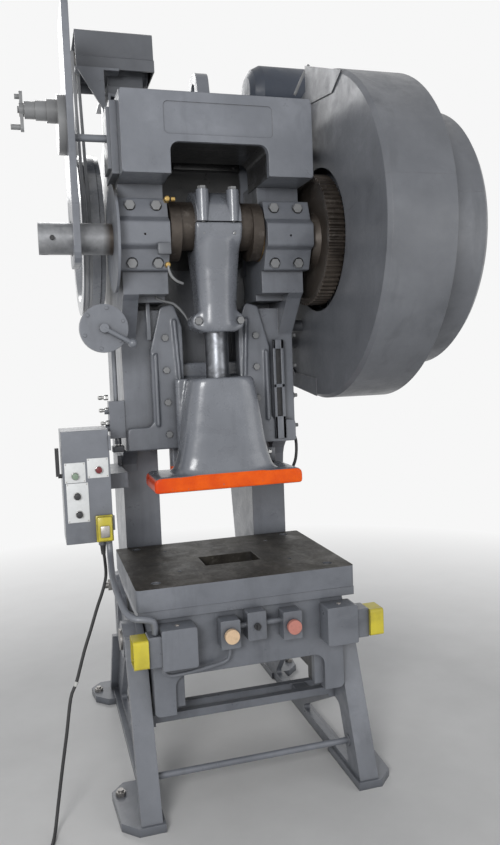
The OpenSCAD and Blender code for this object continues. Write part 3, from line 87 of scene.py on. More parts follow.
# Node materials, built step by step
class Finish:
    """One node material. Each method adds a node and returns its output."""

    def __init__(self, name):
        self.material = bpy.data.materials.new(name)
        self.material.use_nodes = True
        self.tree = self.material.node_tree
        self.shader = self.tree.nodes["Principled BSDF"]
        coords = self.add("ShaderNodeTexCoord")
        self.place = coords.outputs["Object"]
        self.outward = coords.outputs["Normal"]

    def add(self, kind, **settings):
        node = self.tree.nodes.new(kind)
        for key, value in settings.items():
            setattr(node, key, value)
        return node

    def join(self, source, target):
        """Links an output, or sets a constant."""
        if hasattr(source, "is_output"):
            self.tree.links.new(source, target)
        else:
            target.default_value = source

    def stretched(self, scale):
        """The object's own coordinates, scaled along each axis."""
        node = self.add("ShaderNodeMapping")
        node.inputs["Scale"].default_value = scale
        self.join(self.place, node.inputs["Vector"])
        return node.outputs["Vector"]

    def noise(self, scale, detail=4, rough=0.55, stretch=None, warp=0):
        """Cloudy values about 0.5."""
        node = self.add("ShaderNodeTexNoise")
        node.inputs["Scale"].default_value = scale
        node.inputs["Detail"].default_value = detail
        node.inputs["Roughness"].default_value = rough
        node.inputs["Distortion"].default_value = warp
        self.join(self.stretched(stretch) if stretch else self.place, node.inputs["Vector"])
        return node.outputs["Fac"]

    def span(self, value, low, high, out_low=0.0, out_high=1.0):
        """Maps low..high to out_low..out_high and holds the ends."""
        node = self.add("ShaderNodeMapRange")
        self.join(value, node.inputs["Value"])
        node.inputs["From Min"].default_value = low
        node.inputs["From Max"].default_value = high
        node.inputs["To Min"].default_value = out_low
        node.inputs["To Max"].default_value = out_high
        return node.outputs["Result"]

    def calc(self, operation, a, b=0.0):
        node = self.add("ShaderNodeMath", operation=operation, use_clamp=False)
        self.join(a, node.inputs[0])
        self.join(b, node.inputs[1])
        return node.outputs[0]

    def mixed(self, share, first, second):
        """Share 0 gives the first colour, share 1 the second."""
        node = self.add("ShaderNodeMix", data_type="RGBA")
        self.join(share, node.inputs[0])
        for socket, colour in ((node.inputs[6], first), (node.inputs[7], second)):
            self.join((*colour, 1) if isinstance(colour, tuple) else colour, socket)
        return node.outputs[2]

    def part(self, vector, axis):
        node = self.add("ShaderNodeSeparateXYZ")
        self.join(vector, node.inputs[0])
        return node.outputs[axis]

    def between(self, axis, low, high, soft=0.002):
        """1 where the place along an axis lies between two limits in metres."""
        value = self.part(self.place, axis)
        above = self.span(value, low - soft, low + soft)
        below = self.span(value, high + soft, high - soft)
        return self.calc("MULTIPLY", above, below)

    def inside(self, x, y, z, soft=0.02):
        """1 inside a box with soft sides."""
        flat = self.calc("MULTIPLY", self.between("X", *x, soft), self.between("Y", *y, soft))
        return self.calc("MULTIPLY", flat, self.between("Z", *z, soft))

    def ragged(self, mask, scale, depth=0.5):
        """A mask whose border follows a noise."""
        torn = self.calc("ADD", mask, self.calc("MULTIPLY", self.noise(scale, 5, 0.65), depth))
        return self.span(torn, 0.45 + depth / 2, 0.6 + depth / 2)

    def rounded_normal(self, radius, samples=6):
        """A normal that eases every sharp edge."""
        node = self.add("ShaderNodeBevel", samples=samples)
        node.inputs["Radius"].default_value = radius
        return node.outputs["Normal"]

    def edges(self, radius):
        """Near 1 along sharp edges and 0 on flat faces."""
        geometry = self.add("ShaderNodeNewGeometry")
        dot = self.add("ShaderNodeVectorMath", operation="DOT_PRODUCT")
        self.join(self.rounded_normal(radius), dot.inputs[0])
        self.join(geometry.outputs["Normal"], dot.inputs[1])
        return self.span(dot.outputs["Value"], 0.995, 0.86)

    def painted_crevice_shade(self, reach):
        """Near 1 in corners and gaps, 0 on open faces; it paints shade into them."""
        node = self.add("ShaderNodeAmbientOcclusion", samples=4)
        node.inputs["Distance"].default_value = reach
        return self.span(node.outputs["AO"], 0.85, 0.30)

    def bumps(self, layers, normal=None):
        """Layers of (height, distance in metres), one on another."""
        for value, distance in layers:
            node = self.add("ShaderNodeBump")
            node.inputs["Strength"].default_value = 1.0
            node.inputs["Distance"].default_value = distance
            self.join(value, node.inputs["Height"])
            if normal is not None:
                self.join(normal, node.inputs["Normal"])
            normal = node.outputs["Normal"]
        self.join(normal, self.shader.inputs["Normal"])

    def set(self, **values):
        """Constants or outputs for the shader's own inputs."""
        names = {"colour": "Base Color", "rough": "Roughness", "metal": "Metallic", "coat": "Coat Weight",
                 "coat_rough": "Coat Roughness", "specular": "Specular IOR Level"}
        for key, value in values.items():
            socket = self.shader.inputs[names[key]]
            self.join((*value, 1) if isinstance(value, tuple) else value, socket)
        return self


def paint_finish(name, colour, dark, light, rough, cast=0.0012, wear=0.35, bare=(0.20, 0.19, 0.18),
                 corner=0.004, coat=0.25, over=None):
    """Machine paint over metal: mottled, oily, with rubbed edges and painted shade in corners and gaps. over
    lays one more coat on some.
    """
    f = Finish(name)
    broad = f.noise(2.2, 5, 0.6)
    patch = f.noise(11, 6, 0.62, warp=0.6)
    fine = f.noise(90, 4, 0.6)
    streak = f.noise(9, 5, 0.6, stretch=(1, 1, 0.12), warp=0.3)
    tone = f.mixed(f.span(broad, 0.35, 0.65), dark, light)
    tone = f.mixed(f.span(patch, 0.42, 0.62, 0, 0.75), tone, colour)
    grime = f.span(streak, 0.56, 0.78, 0, 0.42)
    tone = f.mixed(grime, tone, tuple(c * 0.45 for c in dark))
    speck = f.span(f.noise(150, 3, 0.7), 0.68, 0.76, 0, 0.45)
    tone = f.mixed(speck, tone, tuple(c * 0.35 for c in dark))
    edge = f.edges(corner)
    chips = f.span(f.noise(48, 5, 0.7), 0.44, 0.66)
    worn = f.calc("MULTIPLY", f.calc("MULTIPLY", edge, chips), wear)
    f.set(coat=coat, coat_rough=0.18)
    if over:
        tone = over(f, tone)
    # Painted shade: paint darkened in corners and gaps from ambient occlusion
    tone = f.mixed(f.span(f.painted_crevice_shade(0.05), 0, 1, 0, 0.72), tone, tuple(c * 0.22 for c in dark))
    tone = f.mixed(worn, tone, bare)
    sheen = f.calc("ADD", patch, f.calc("MULTIPLY", fine, 0.4))
    f.set(colour=tone, rough=f.span(sheen, 0.45, 0.95, rough - 0.12, rough + 0.17))
    lumps = f.noise(26, 3, 0.5)
    f.bumps([(lumps, cast), (fine, cast * 0.28)], f.rounded_normal(corner))
    return f.material


def steel_finish(name, colour, dark, rough, turned=0.0002, corner=0.0015, grime=0.5):
    """Bare steel with turning marks, smears and grime."""
    f = Finish(name)
    smear = f.noise(14, 6, 0.65, warp=0.8)
    fine = f.noise(220, 3, 0.6)
    tone = f.mixed(f.span(smear, 0.42, 0.68, 0, grime), colour, dark)
    tone = f.mixed(f.span(f.noise(60, 4, 0.7), 0.6, 0.75, 0, 0.5), tone, tuple(c * 0.5 for c in dark))
    f.set(colour=tone, rough=f.span(smear, 0.3, 0.75, rough - 0.08, rough + 0.22), metal=1.0)
    f.bumps([(fine, turned)], f.rounded_normal(corner))
    return f.material


def iron_finish(name, colour, dark, light, rough, metal=0.5, over=None):
    """Oily iron with scuffs and dark stains."""
    f = Finish(name)
    broad = f.noise(4.5, 6, 0.65, warp=0.8)
    scuff = f.noise(30, 6, 0.7, stretch=(1, 0.35, 1))
    tone = f.mixed(f.span(broad, 0.35, 0.66), colour, dark)
    tone = f.mixed(f.span(scuff, 0.55, 0.75, 0, 0.55), tone, light)
    if over:
        tone = over(f, tone)
    f.set(colour=tone, rough=f.span(broad, 0.3, 0.7, rough + 0.15, rough - 0.1), metal=metal)
    f.bumps([(f.noise(40, 5, 0.6), 0.0006), (f.noise(240, 3, 0.6), 0.0002)], f.rounded_normal(0.0025))
    return f.material


def rubber_finish(name, colour, rough):
    """Matt rubber or cloth with dust on it."""
    f = Finish(name)
    dust = f.noise(40, 5, 0.65)
    tone = f.mixed(f.span(dust, 0.5, 0.75, 0, 0.35), colour, tuple(c + 0.07 for c in colour))
    f.set(colour=tone, rough=f.span(dust, 0.3, 0.7, rough - 0.06, rough + 0.1))
    f.bumps([(f.noise(300, 3, 0.6), 0.00015)])
    return f.material


def plastic_finish(name, colour, rough, dirt=0.3):
    """Moulded plastic or a wiped plate, a little soiled."""
    f = Finish(name)
    wipe = f.noise(70, 5, 0.6)
    tone = f.mixed(f.span(wipe, 0.5, 0.72, 0, dirt), colour, tuple(c * 0.5 for c in colour))
    f.set(colour=tone, rough=f.span(wipe, 0.3, 0.7, rough - 0.05, rough + 0.15))
    f.bumps([(f.noise(400, 2, 0.5), 0.0001)], f.rounded_normal(0.0012))
    return f.material


GREY = ((0.150, 0.160, 0.181), (0.108, 0.116, 0.133), (0.198, 0.209, 0.234))
# Near-black of old oil and painted shade in the frame's hollows
OIL_AND_PAINTED_SHADE = (0.012, 0.011, 0.010)


def orange_front(f, tone):
    """Bright safety paint on the upright sides of the slide's flange."""
    upright = f.span(f.calc("ABSOLUTE", f.part(f.outward, "Z")), 0.75, 0.6)
    band = f.calc("MULTIPLY", f.between("Z", 1.10, 1.176, 0.001), upright)
    left = f.span(f.part(f.place, "X"), -0.20, -0.28)
    orange = f.mixed(f.span(f.noise(18, 5, 0.6), 0.35, 0.7), (0.84, 0.115, 0.004), (0.70, 0.075, 0.004))
    orange = f.mixed(f.calc("MULTIPLY", left, 0.6), orange, (0.60, 0.032, 0.006))
    chips = f.span(f.noise(60, 6, 0.7), 0.66, 0.70, 1.0, 0.15)
    f.set(specular=f.span(band, 0, 1, 0.5, 0.2), coat=f.span(band, 0, 1, 0.4, 0.0))
    return f.mixed(f.calc("MULTIPLY", band, chips), tone, orange)


def oily_top(f, tone):
    """Bare, oil-dark working face on top of the bolster."""
    hole = f.inside((-0.113, 0.113), (-0.14, 0.02), (0.6, 0.9), 0.001)
    top = f.calc("MAXIMUM", f.span(f.part(f.outward, "Z"), 0.5, 0.8), hole)
    f.set(specular=f.span(top, 0, 1, 0.5, 0.16))
    broad = f.noise(4.5, 6, 0.65, warp=0.8)
    scuff = f.noise(30, 6, 0.7, stretch=(1, 0.35, 1))
    plate = f.mixed(f.span(broad, 0.35, 0.66), (0.050, 0.045, 0.037), (0.015, 0.013, 0.011))
    plate = f.mixed(f.span(scuff, 0.52, 0.74, 0, 0.5), plate, (0.15, 0.14, 0.125))
    return f.mixed(top, tone, plate)


def oil_and_painted_shade_in_crank_room(f, tone):
    """Old oil and painted shade: near-black in the crown's window, round the crank, under the bed and at the
    rear of the throat.
    """
    window = f.ragged(f.inside((-0.19, 0.19), (-0.165, 0.40), (1.99, 2.46)), 14)
    bed = f.ragged(f.inside((-0.33, 0.33), (-0.29, 0.6), (0.3, 0.66)), 9)
    rear = f.ragged(f.inside((-0.20, 0.20), (0.20, 0.7), (1.3, 2.3), 0.04), 9)
    dirt = f.calc("MAXIMUM", f.calc("MAXIMUM", window, bed), f.calc("MULTIPLY", rear, 0.6))
    # Painted shade with oil: the frame's hollows turned near-black
    return f.mixed(f.calc("MULTIPLY", dirt, 0.92), tone, OIL_AND_PAINTED_SHADE)


def grey_stub(f, tone):
    """Worn grey on the free end of the crankshaft, left of the flywheel."""
    grey = f.mixed(f.span(f.noise(24, 5, 0.65), 0.35, 0.7), (0.30, 0.305, 0.315), (0.19, 0.195, 0.205))
    return f.mixed(f.span(f.part(f.place, "X"), -0.40, -0.43), tone, grey)


FINISH = {
    "grey_paint": paint_finish("grey_paint", *GREY, 0.36),
    "dark_grey_paint": paint_finish(
        "dark_grey_paint", (0.108, 0.114, 0.127), (0.080, 0.085, 0.096), (0.138, 0.145, 0.160), 0.42,
        cast=0.0007, wear=0.45, bare=(0.16, 0.15, 0.145), corner=0.003, coat=0.12),
    "machined_steel": steel_finish("machined_steel", (0.33, 0.32, 0.31), (0.10, 0.09, 0.08), 0.38),
    "worn_steel": steel_finish("worn_steel", (0.46, 0.44, 0.42), (0.16, 0.14, 0.12), 0.30),
    "oiled_plate": paint_finish("bolster_paint", *GREY, 0.46, coat=0.0, over=oily_top),
    "bronze": steel_finish("bronze", (0.50, 0.33, 0.15), (0.16, 0.10, 0.05), 0.35),
    "black_rubber": rubber_finish("black_rubber", (0.022, 0.022, 0.023), 0.6),
    "yellow_paint": paint_finish(
        "yellow_paint", (0.66, 0.55, 0.030), (0.47, 0.39, 0.03), (0.74, 0.64, 0.06), 0.4, cast=0.0004,
        wear=1.0, bare=(0.07, 0.065, 0.055), corner=0.004),
    "cream_plastic": plastic_finish("cream_plastic", (0.66, 0.47, 0.30), 0.4),
    "red_plastic": plastic_finish("red_plastic", (0.50, 0.20, 0.16), 0.4),
    "black_plastic": plastic_finish("black_plastic", (0.025, 0.025, 0.027), 0.45),
    "tank_paint": paint_finish(
        "tank_paint", (0.036, 0.046, 0.066), (0.025, 0.032, 0.047), (0.052, 0.062, 0.086), 0.46, coat=0.05),
    "slide_paint": paint_finish("slide_paint", *GREY, 0.28, wear=0.5, over=orange_front),
    "rod_paint": paint_finish("rod_paint", *GREY, 0.26, cast=0.0009, coat=0.6),
    "frame_paint": paint_finish("frame_paint", *GREY, 0.36, over=oil_and_painted_shade_in_crank_room),
    # Flywheel rim: the press grey lightened as painted light, where the guard shades it
    "rim_paint_painted_light": paint_finish(
        "rim_paint_painted_light", (0.25, 0.26, 0.28), (0.17, 0.18, 0.20), (0.34, 0.35, 0.375), 0.24, cast=0.0004, coat=0.6),
    "crank_steel": iron_finish(
        "crank_steel", (0.085, 0.070, 0.058), (0.030, 0.024, 0.020), (0.20, 0.18, 0.16), 0.42, over=grey_stub),
    # Belts: grey of dust, lightened further as painted light
    "belt_dust_and_painted_light": rubber_finish("belt_dust_and_painted_light", (0.31, 0.315, 0.325), 0.5),
    "screw_steel": steel_finish("screw_steel", (0.24, 0.25, 0.27), (0.05, 0.05, 0.055), 0.34, grime=0.8),
    "painted_steel": paint_finish(
        "painted_steel", (0.20, 0.205, 0.21), (0.14, 0.143, 0.147), (0.27, 0.272, 0.275), 0.34, cast=0.0003,
        wear=0.8, bare=(0.30, 0.28, 0.26), corner=0.002),
    "chrome": steel_finish("chrome", (0.62, 0.62, 0.61), (0.20, 0.19, 0.18), 0.22, grime=0.4),
    "brass": steel_finish("brass", (0.52, 0.36, 0.13), (0.16, 0.10, 0.05), 0.32, grime=0.6),
    "bare_plate": plastic_finish("bare_plate", (0.66, 0.67, 0.67), 0.45, dirt=0.18),
    "lamp_green": plastic_finish("lamp_green", (0.20, 0.27, 0.20), 0.3),
    "lamp_red": plastic_finish("lamp_red", (0.16, 0.018, 0.022), 0.25),
    "tape": rubber_finish("tape", (0.50, 0.50, 0.48), 0.55),
}
# Nodes that look unlike the rest of their slot
OWN_FINISH = {
    "slide": "slide_paint", "pitman": "rod_paint", "pitman_strap": "rod_paint", "main_frame": "frame_paint",
    "crankshaft": "crank_steel", "toothed_disc": "crank_steel", "adjusting_screw": "screw_steel",
    "speed_hub": "painted_steel", "speed_crank": "painted_steel", "frame_bolts": "painted_steel",
    "pitman_bolts": "painted_steel", "flywheel": "rim_paint_painted_light", "drive_belts": "belt_dust_and_painted_light",
}


def dress_nodes():
    """Each CAD node gets its own finish, or that of its slot."""
    slots = {row["node"]: row["material_slot"] for row in frame["record"]["subparts"]}
    for name, node in NODES.items():
        node.data.materials.clear()
        node.data.materials.append(FINISH[OWN_FINISH.get(name, slots[name])])


dress_nodes()


# Pieces in mesh code, drawn in millimetres
def smooth_way(points, steps):
    """A smooth curve through given points."""
    points = [Vector(p) for p in points]
    ends = [2 * points[0] - points[1]] + points + [2 * points[-1] - points[-2]]
    way = []
    for a, b, c, d in zip(ends, ends[1:], ends[2:], ends[3:]):
        for k in range(steps):
            t = k / steps
            way.append(0.5 * (2 * b + (c - a) * t + (2 * a - 5 * b + 4 * c - d) * t * t
                              + (3 * b - a - 3 * c + d) * t * t * t))
    return way + [points[-1]]


class Shape:
    """A piece put together from eased blocks, turned forms and tubes."""

    def __init__(self):
        self.mesh = bmesh.new()

    def block(self, low, high, ease=1.0):
        """Box between two corners with eased edges."""
        middle = [(a + b) / 2 for a, b in zip(low, high)]
        size = Matrix.Diagonal([b - a for a, b in zip(low, high)] + [1])
        made = bmesh.ops.create_cube(self.mesh, size=1, matrix=Matrix.Translation(middle) @ size)
        edges = list({edge for corner in made["verts"] for edge in corner.link_edges})
        bmesh.ops.bevel(self.mesh, geom=edges, offset=ease, segments=2, affect="EDGES", profile=0.5)
        return self

    def rings(self, rings):
        """Skin over rings of vertices; a ring of one vertex closes an end."""
        for low, high in zip(rings, rings[1:]):
            count = max(len(low), len(high))
            for k in range(count):
                face = [low[k % len(low)], low[(k + 1) % len(low)],
                        high[(k + 1) % len(high)], high[k % len(high)]]
                self.mesh.faces.new(list(dict.fromkeys(face)))

    def turned(self, at, along, profile, sides=28):
        """Rows of (radius, distance along), turned about a line."""
        turn = Vector((0, 0, 1)).rotation_difference(Vector(along)).to_matrix()
        rings = []
        for radius, height in profile:
            angles = [2 * pi * k / sides for k in range(sides)] if radius else [0]
            rings.append([self.mesh.verts.new(
                Vector(at) + turn @ Vector((radius * cos(a), radius * sin(a), height))) for a in angles])
        self.rings(rings)
        return self

    def tube(self, way, radius, sides=12):
        """Round tube along a way; radius is a number or one for each point."""
        radii = radius if isinstance(radius, list) else [radius] * len(way)
        side = None
        rings = [[self.mesh.verts.new(way[0])]]
        for k, (point, r) in enumerate(zip(way, radii)):
            ahead = (way[min(k + 1, len(way) - 1)] - way[max(k - 1, 0)]).normalized()
            start = side or ahead.orthogonal()
            side = (start - ahead * start.dot(ahead)).normalized()
            other = ahead.cross(side)
            rings.append([self.mesh.verts.new(point + r * (cos(a) * side + sin(a) * other))
                          for a in (2 * pi * n / sides for n in range(sides))])
        rings.append([self.mesh.verts.new(way[-1])])
        self.rings(rings)
        return self

    def loop(self, way, radius, sides=8):
        """Closed ring of round section along a closed way."""
        rings = []
        middle = sum(way, Vector()) / len(way)
        for k, point in enumerate(way):
            ahead = (way[(k + 1) % len(way)] - way[k - 1]).normalized()
            side = (point - middle).normalized()
            other = ahead.cross(side)
            rings.append([self.mesh.verts.new(point + radius * (cos(a) * side + sin(a) * other))
                          for a in (2 * pi * n / sides for n in range(sides))])
        self.rings(rings + [rings[0]])
        return self

    def made(self, name, body, finish, crease=35):
        """Builds the piece; a body of None leaves it unattached to any body."""
        bmesh.ops.recalc_face_normals(self.mesh, faces=self.mesh.faces)
        bmesh.ops.scale(self.mesh, vec=(0.001, 0.001, 0.001), verts=self.mesh.verts)
        mesh = bpy.data.meshes.new(name)
        self.mesh.to_mesh(mesh)
        self.mesh.free()
        mesh.shade_smooth()
        mesh.set_sharp_from_angle(angle=radians(crease))
        mesh.materials.append(FINISH[finish])
        piece = bpy.data.objects.new(name, mesh)
        bpy.context.scene.collection.objects.link(piece)
        if body:
            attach(piece, body)
        return piece


# Power cord: straight down from its gland, along the photographed curve, and wound up out of view
CORD_R = 6.0
CORD_ROUTE = [
    (-488, -20, 919.6), (-488, -20, 910), (-487.5, -22, 892), (-486, -44, 862), (-490, -100, 818),
    (-507, -128, 770), (-532, -150, 716), (-561, -176, 645), (-590, -200, 576), (-623, -216, 476),
    (-647, -230, 425), (-668, -258, 315), (-690, -282, 205), (-710, -306, 100), (-724, -335, 30),
    (-733, -375, 7.5), (-742, -420, 6.5), (-749.5, -470, 6.5), (-754.5, -520, 6.5), (-757, -560, 6.5),
    (-757.7, -600, 6.5)]
COIL_AT = Vector((-860, -600, 0))
COIL_OUT, COIL_Z = 102.3, 6.5
TURNS_LOW, TURNS_CLIMB, TURNS_HIGH = 3, 0.25, 2.25
STEPS_A_TURN = 24
TIE_AT, TIE_SIDES, TIE_R = radians(-140), 24, 1.2
TIE_MID_R, TIE_MID_Z = 84, 14.1
TIE_HALF_W, TIE_HALF_H = 28.5, 12.9
# The tie is an ellipse of these half axes, cut square at its half width and height
TIE_WIDE, TIE_TALL = 1.25 * TIE_HALF_W, 17.0
PLUG_NOSE = Vector((-902, -483.7, 20.5))
PLUG_DROP = 3
EXIT_BEND = 50.0
BEND_STEPS = 8
SLEEVE_RINGS, SLEEVE_PITCH = 12, 3.4
TAPE_LOW, TAPE_HIGH = 455, 492


def coil_way():
    """Turns inwards on the floor, up one layer, and outwards again."""
    way = []
    for k in range(1, round((TURNS_LOW + TURNS_CLIMB + TURNS_HIGH) * STEPS_A_TURN) + 1):
        turn = k / STEPS_A_TURN
        climb = min(max((turn - TURNS_LOW) / TURNS_CLIMB, 0), 1)
        inwards = min(turn, TURNS_LOW)
        outwards = max(turn - TURNS_LOW - TURNS_CLIMB, 0)
        radius = COIL_OUT - 2 * CORD_R * inwards + 2 * CORD_R * outwards
        angle = -2 * pi * turn
        way.append(COIL_AT + Vector((radius * cos(angle), radius * sin(angle), COIL_Z + 2 * CORD_R * climb)))
    return way


def plug_way(start):
    """From the last turn round one bend into the plug's nose."""
    bend = Vector((start.x + EXIT_BEND, PLUG_NOSE.y - EXIT_BEND, 0))
    way = [Vector((start.x, start.y + (bend.y - start.y) * t, start.z - PLUG_DROP * sin(pi * t / 2)))
           for t in (0.33, 0.67, 1)]
    for step in range(1, BEND_STEPS + 1):
        angle = pi - pi / 2 * step / BEND_STEPS
        rise = way[2].z + (PLUG_NOSE.z - way[2].z) * step / BEND_STEPS
        way.append(Vector((bend.x + EXIT_BEND * cos(angle), bend.y + EXIT_BEND * sin(angle), rise)))
    return way + [PLUG_NOSE + Vector((3, 0, 0))]


def make_cord():
    """Cord with its sleeve, tape and tie, and the plug."""
    loose = smooth_way(CORD_ROUTE, 4)
    turns = coil_way()
    way = loose + turns + plug_way(turns[-1])
    cord = Shape().tube(way, CORD_R, 14).made("cord_line", None, "black_rubber")
    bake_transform(cord)
    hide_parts("power_cord", "cord_coil")

    sleeve = [Vector(CORD_ROUTE[0]) + Vector((0, 0, -0.4 - SLEEVE_PITCH * k)) for k in range(SLEEVE_RINGS)]
    sleeve = [Vector((p.x, p.y - 0.0009 * max(0, 910 - p.z) ** 2.2, p.z)) for p in sleeve]
    radii = [11.5 - 0.32 * k + (0.7 if k % 2 else -0.3) for k in range(SLEEVE_RINGS)]
    relief = Shape().tube(sleeve, radii, 20).made("cord_relief", "frame", "black_rubber", 60)

    wrap = [p for p in loose if TAPE_LOW < p.z < TAPE_HIGH]
    tape = Shape().tube(wrap, [CORD_R + 1.1 + 0.25 * sin(3 * k) for k in range(len(wrap))], 16)
    tape = tape.made("cord_tape", None, "tape")
    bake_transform(tape)

    out = Vector((cos(TIE_AT), sin(TIE_AT), 0))
    ring = []
    for k in range(TIE_SIDES):
        angle = 2 * pi * k / TIE_SIDES
        along = max(-TIE_HALF_W, min(TIE_HALF_W, TIE_WIDE * cos(angle)))
        rise = max(-TIE_HALF_H, min(TIE_HALF_H, TIE_TALL * sin(angle)))
        ring.append(COIL_AT + out * (TIE_MID_R + along) + Vector((0, 0, TIE_MID_Z + rise)))
    tie = Shape().loop(ring, TIE_R).made("coil_tie", "legs", "black_plastic")

    grip = [(0, 0), (7, 0), (9.5, 3), (10, 8)]
    grip += [(10 + 0.16 * d + (0.8 if d % 4 < 2 else 0), d) for d in range(10, 32, 2)]
    grip += [(14, 34), (19.4, 38), (20, 42), (20, 78), (18.6, 80), (18.6, 83), (20, 85), (20, 101), (19, 104),
             (16.5, 105), (16.5, 96), (0, 96)]
    plug = Shape().turned(PLUG_NOSE, (1, 0, 0), grip, 36)
    for angle in (radians(90), radians(210), radians(330)):
        foot = PLUG_NOSE + Vector((90, 9.5 * cos(angle), 9.5 * sin(angle)))
        plug.turned(foot, (1, 0, 0), [(0, 0), (2.4, 0), (2.4, 13), (1.6, 14.5), (0, 14.5)], 12)
    plug = plug.made("plug_body", "legs", "black_plastic")
    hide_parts("cord_plug")


make_cord()


# Castings softened as poured iron: the CAD form remeshed and smoothed
def soft_casting(node, body, voxel, passes):
    """Stands for a node: its solid, rounded by passes of smoothing."""
    source = NODES[node]
    piece = bpy.data.objects.new(node + "_cast", source.data.copy())
    bpy.context.scene.collection.objects.link(piece)
    remesh = piece.modifiers.new("skin", "REMESH")
    remesh.mode = "VOXEL"
    remesh.voxel_size = voxel
    ease = piece.modifiers.new("ease", "SMOOTH")
    ease.factor = 0.5
    ease.iterations = passes
    bpy.context.view_layer.update()
    made = bpy.data.meshes.new_from_object(piece.evaluated_get(bpy.context.evaluated_depsgraph_get()))
    piece.modifiers.clear()
    piece.data = made
    made.materials.clear()
    made.materials.append(source.data.materials[0])
    made.shade_smooth()
    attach(piece, body)
    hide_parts(node)


for casting, carrier, grain, rounds in (("pitman", "pitman", 0.005, 30), ("slide", "slide", 0.0055, 8),
                                        ("gib_left", "frame", 0.004, 4), ("gib_right", "frame", 0.004, 4)):
    soft_casting(casting, carrier, grain, rounds)


# Bare plates, lamps' rings and lockout box on the panel door
DOOR_Y = -111
PLATE = 1.3


def screw_head(shape, x, y, z, r):
    """Low round head that looks to the front."""
    profile = [(0, -1), (r, -1), (r, 0.9), (r * 0.8, 1.5), (r * 0.3, 1.6), (0, 1.3)]
    shape.turned((x, y, z), (0, -1, 0), profile, 16)


def make_door_pieces():
    """What is screwed on the door's face: blank plates, ringed lamps and buttons, lockout case."""
    plates, screws = Shape(), Shape()
    for x0, x1, z0, z1 in ((-619, -544, 1180, 1254), (-537, -460, 1193, 1266), (-616, -537, 1032, 1178)):
        plates.block((x0, DOOR_Y - PLATE, z0), (x1, DOOR_Y + 0.2, z1), 0.5)
        for x in (x0 + 5, x1 - 5):
            for z in (z0 + 5, z1 - 5):
                screw_head(screws, x, DOOR_Y - PLATE, z, r=2.4)
    plates.made("door_plates", "door", "bare_plate")
    screws.made("door_screws", "door", "worn_steel")
    rings, lenses = Shape(), {"lamp_green": Shape(), "lamp_red": Shape(), "black_plastic": Shape()}
    for x, z, lens in ((-582, 1205, "lamp_green"), (-496, 1222, "lamp_red"), (-578, 1130, "black_plastic"),
                       (-574, 1062, "black_plastic")):
        ring = [(15, -0.5), (15, 5), (13.5, 7), (12.2, 7), (12.2, -0.5)]
        rings.turned((x, DOOR_Y, z), (0, -1, 0), ring, 32)
        cap = [(0, 0), (12.1, 0), (12.1, 16), (10.5, 18.5), (5, 19.5), (0, 19.7)]
        lenses[lens].turned((x, DOOR_Y, z), (0, -1, 0), cap, 32)
    rings.made("lamp_rings", "door", "chrome")
    for lens, shape in lenses.items():
        shape.made(lens + "_caps", "door", lens)
    case = Shape().block((-513, DOOR_Y - 26, 958), (-459, DOOR_Y + 0.2, 1048), 5)
    case.block((-517, DOOR_Y - 9, 952), (-455, DOOR_Y + 0.1, 1052), 3)
    case.made("lock_case", "door", "yellow_paint")
    bolt = Shape().block((-503, DOOR_Y - 33, 972), (-470, DOOR_Y - 25, 1016), 3)
    bolt.made("lock_slide", "door", "worn_steel")


# Small fittings on the frame
def hex_fitting(shape, at, along, r, length):
    """Hexagon, neck and round collar in a row."""
    shape.turned(at, along, [(0, -1), (r * 0.9, -1), (r, 0.5), (r, length * 0.35), (r * 0.9, length * 0.4)], 6)
    shape.turned(at, along, [(r * 0.62, length * 0.35), (r * 0.62, length * 0.6), (r * 0.8, length * 0.64),
                             (r * 0.8, length * 0.9), (r * 0.5, length), (0, length)], 20)


def make_fittings():
    """Pipe fittings, oilers and short pipes on the cheeks and the crown."""
    chrome, brass, pipes, dark = Shape(), Shape(), Shape(), Shape()
    for z, reach in ((1477, 40), (1426, 38), (1374, 34)):
        hex_fitting(chrome, (-424, 148, z), (-1, 0, 0), 11, reach)
    hex_fitting(chrome, (-393, 150, 1312), (0, 0, -1), 15, 34)
    dark.block((-417, 128, 1254), (-369, 172, 1280), 4)
    pipes.tube(smooth_way([(-222, 60, 1872), (-221, 60, 1862), (-190, 62, 1850), (-150, 66, 1838),
                           (-112, 72, 1800), (-92, 76, 1768), (-80, 78, 1752)], 5), 5)
    pipes.tube(smooth_way([(486, 150, 2836), (470, 150, 2812), (445, 150, 2764), (420, 150, 2712)], 4), 6)
    hex_fitting(brass, (-200, -128, 2203), (0, -1, 0), 13, 30)
    brass.turned((-186, -146, 2203), (1, 0, 0), [(0, 0), (9, 0), (9, 14), (6, 16), (0, 16)], 20)
    hex_fitting(brass, (-207, -128, 1966), (0, -1, 0), 12, 26)
    pipes.tube(smooth_way([(-207, -150, 1962), (-206, -151, 1948), (-196, -148, 1924), (-176, -138, 1908),
                           (-150, -120, 1900)], 4), 5)
    dark.block((-242, -150, 2004), (-192, -127, 2046), 5)
    hex_fitting(chrome, (222, 80, 1222), (0, -1, 0), 12, 30)
    dark.block((206, 70, 1176), (252, 96, 1238), 4)
    chrome.made("chrome_fittings", "frame", "chrome")
    brass.made("oil_fittings", "frame", "brass")
    pipes.made("oil_pipes", "frame", "painted_steel")
    dark.made("fitting_blocks", "frame", "dark_grey_paint")


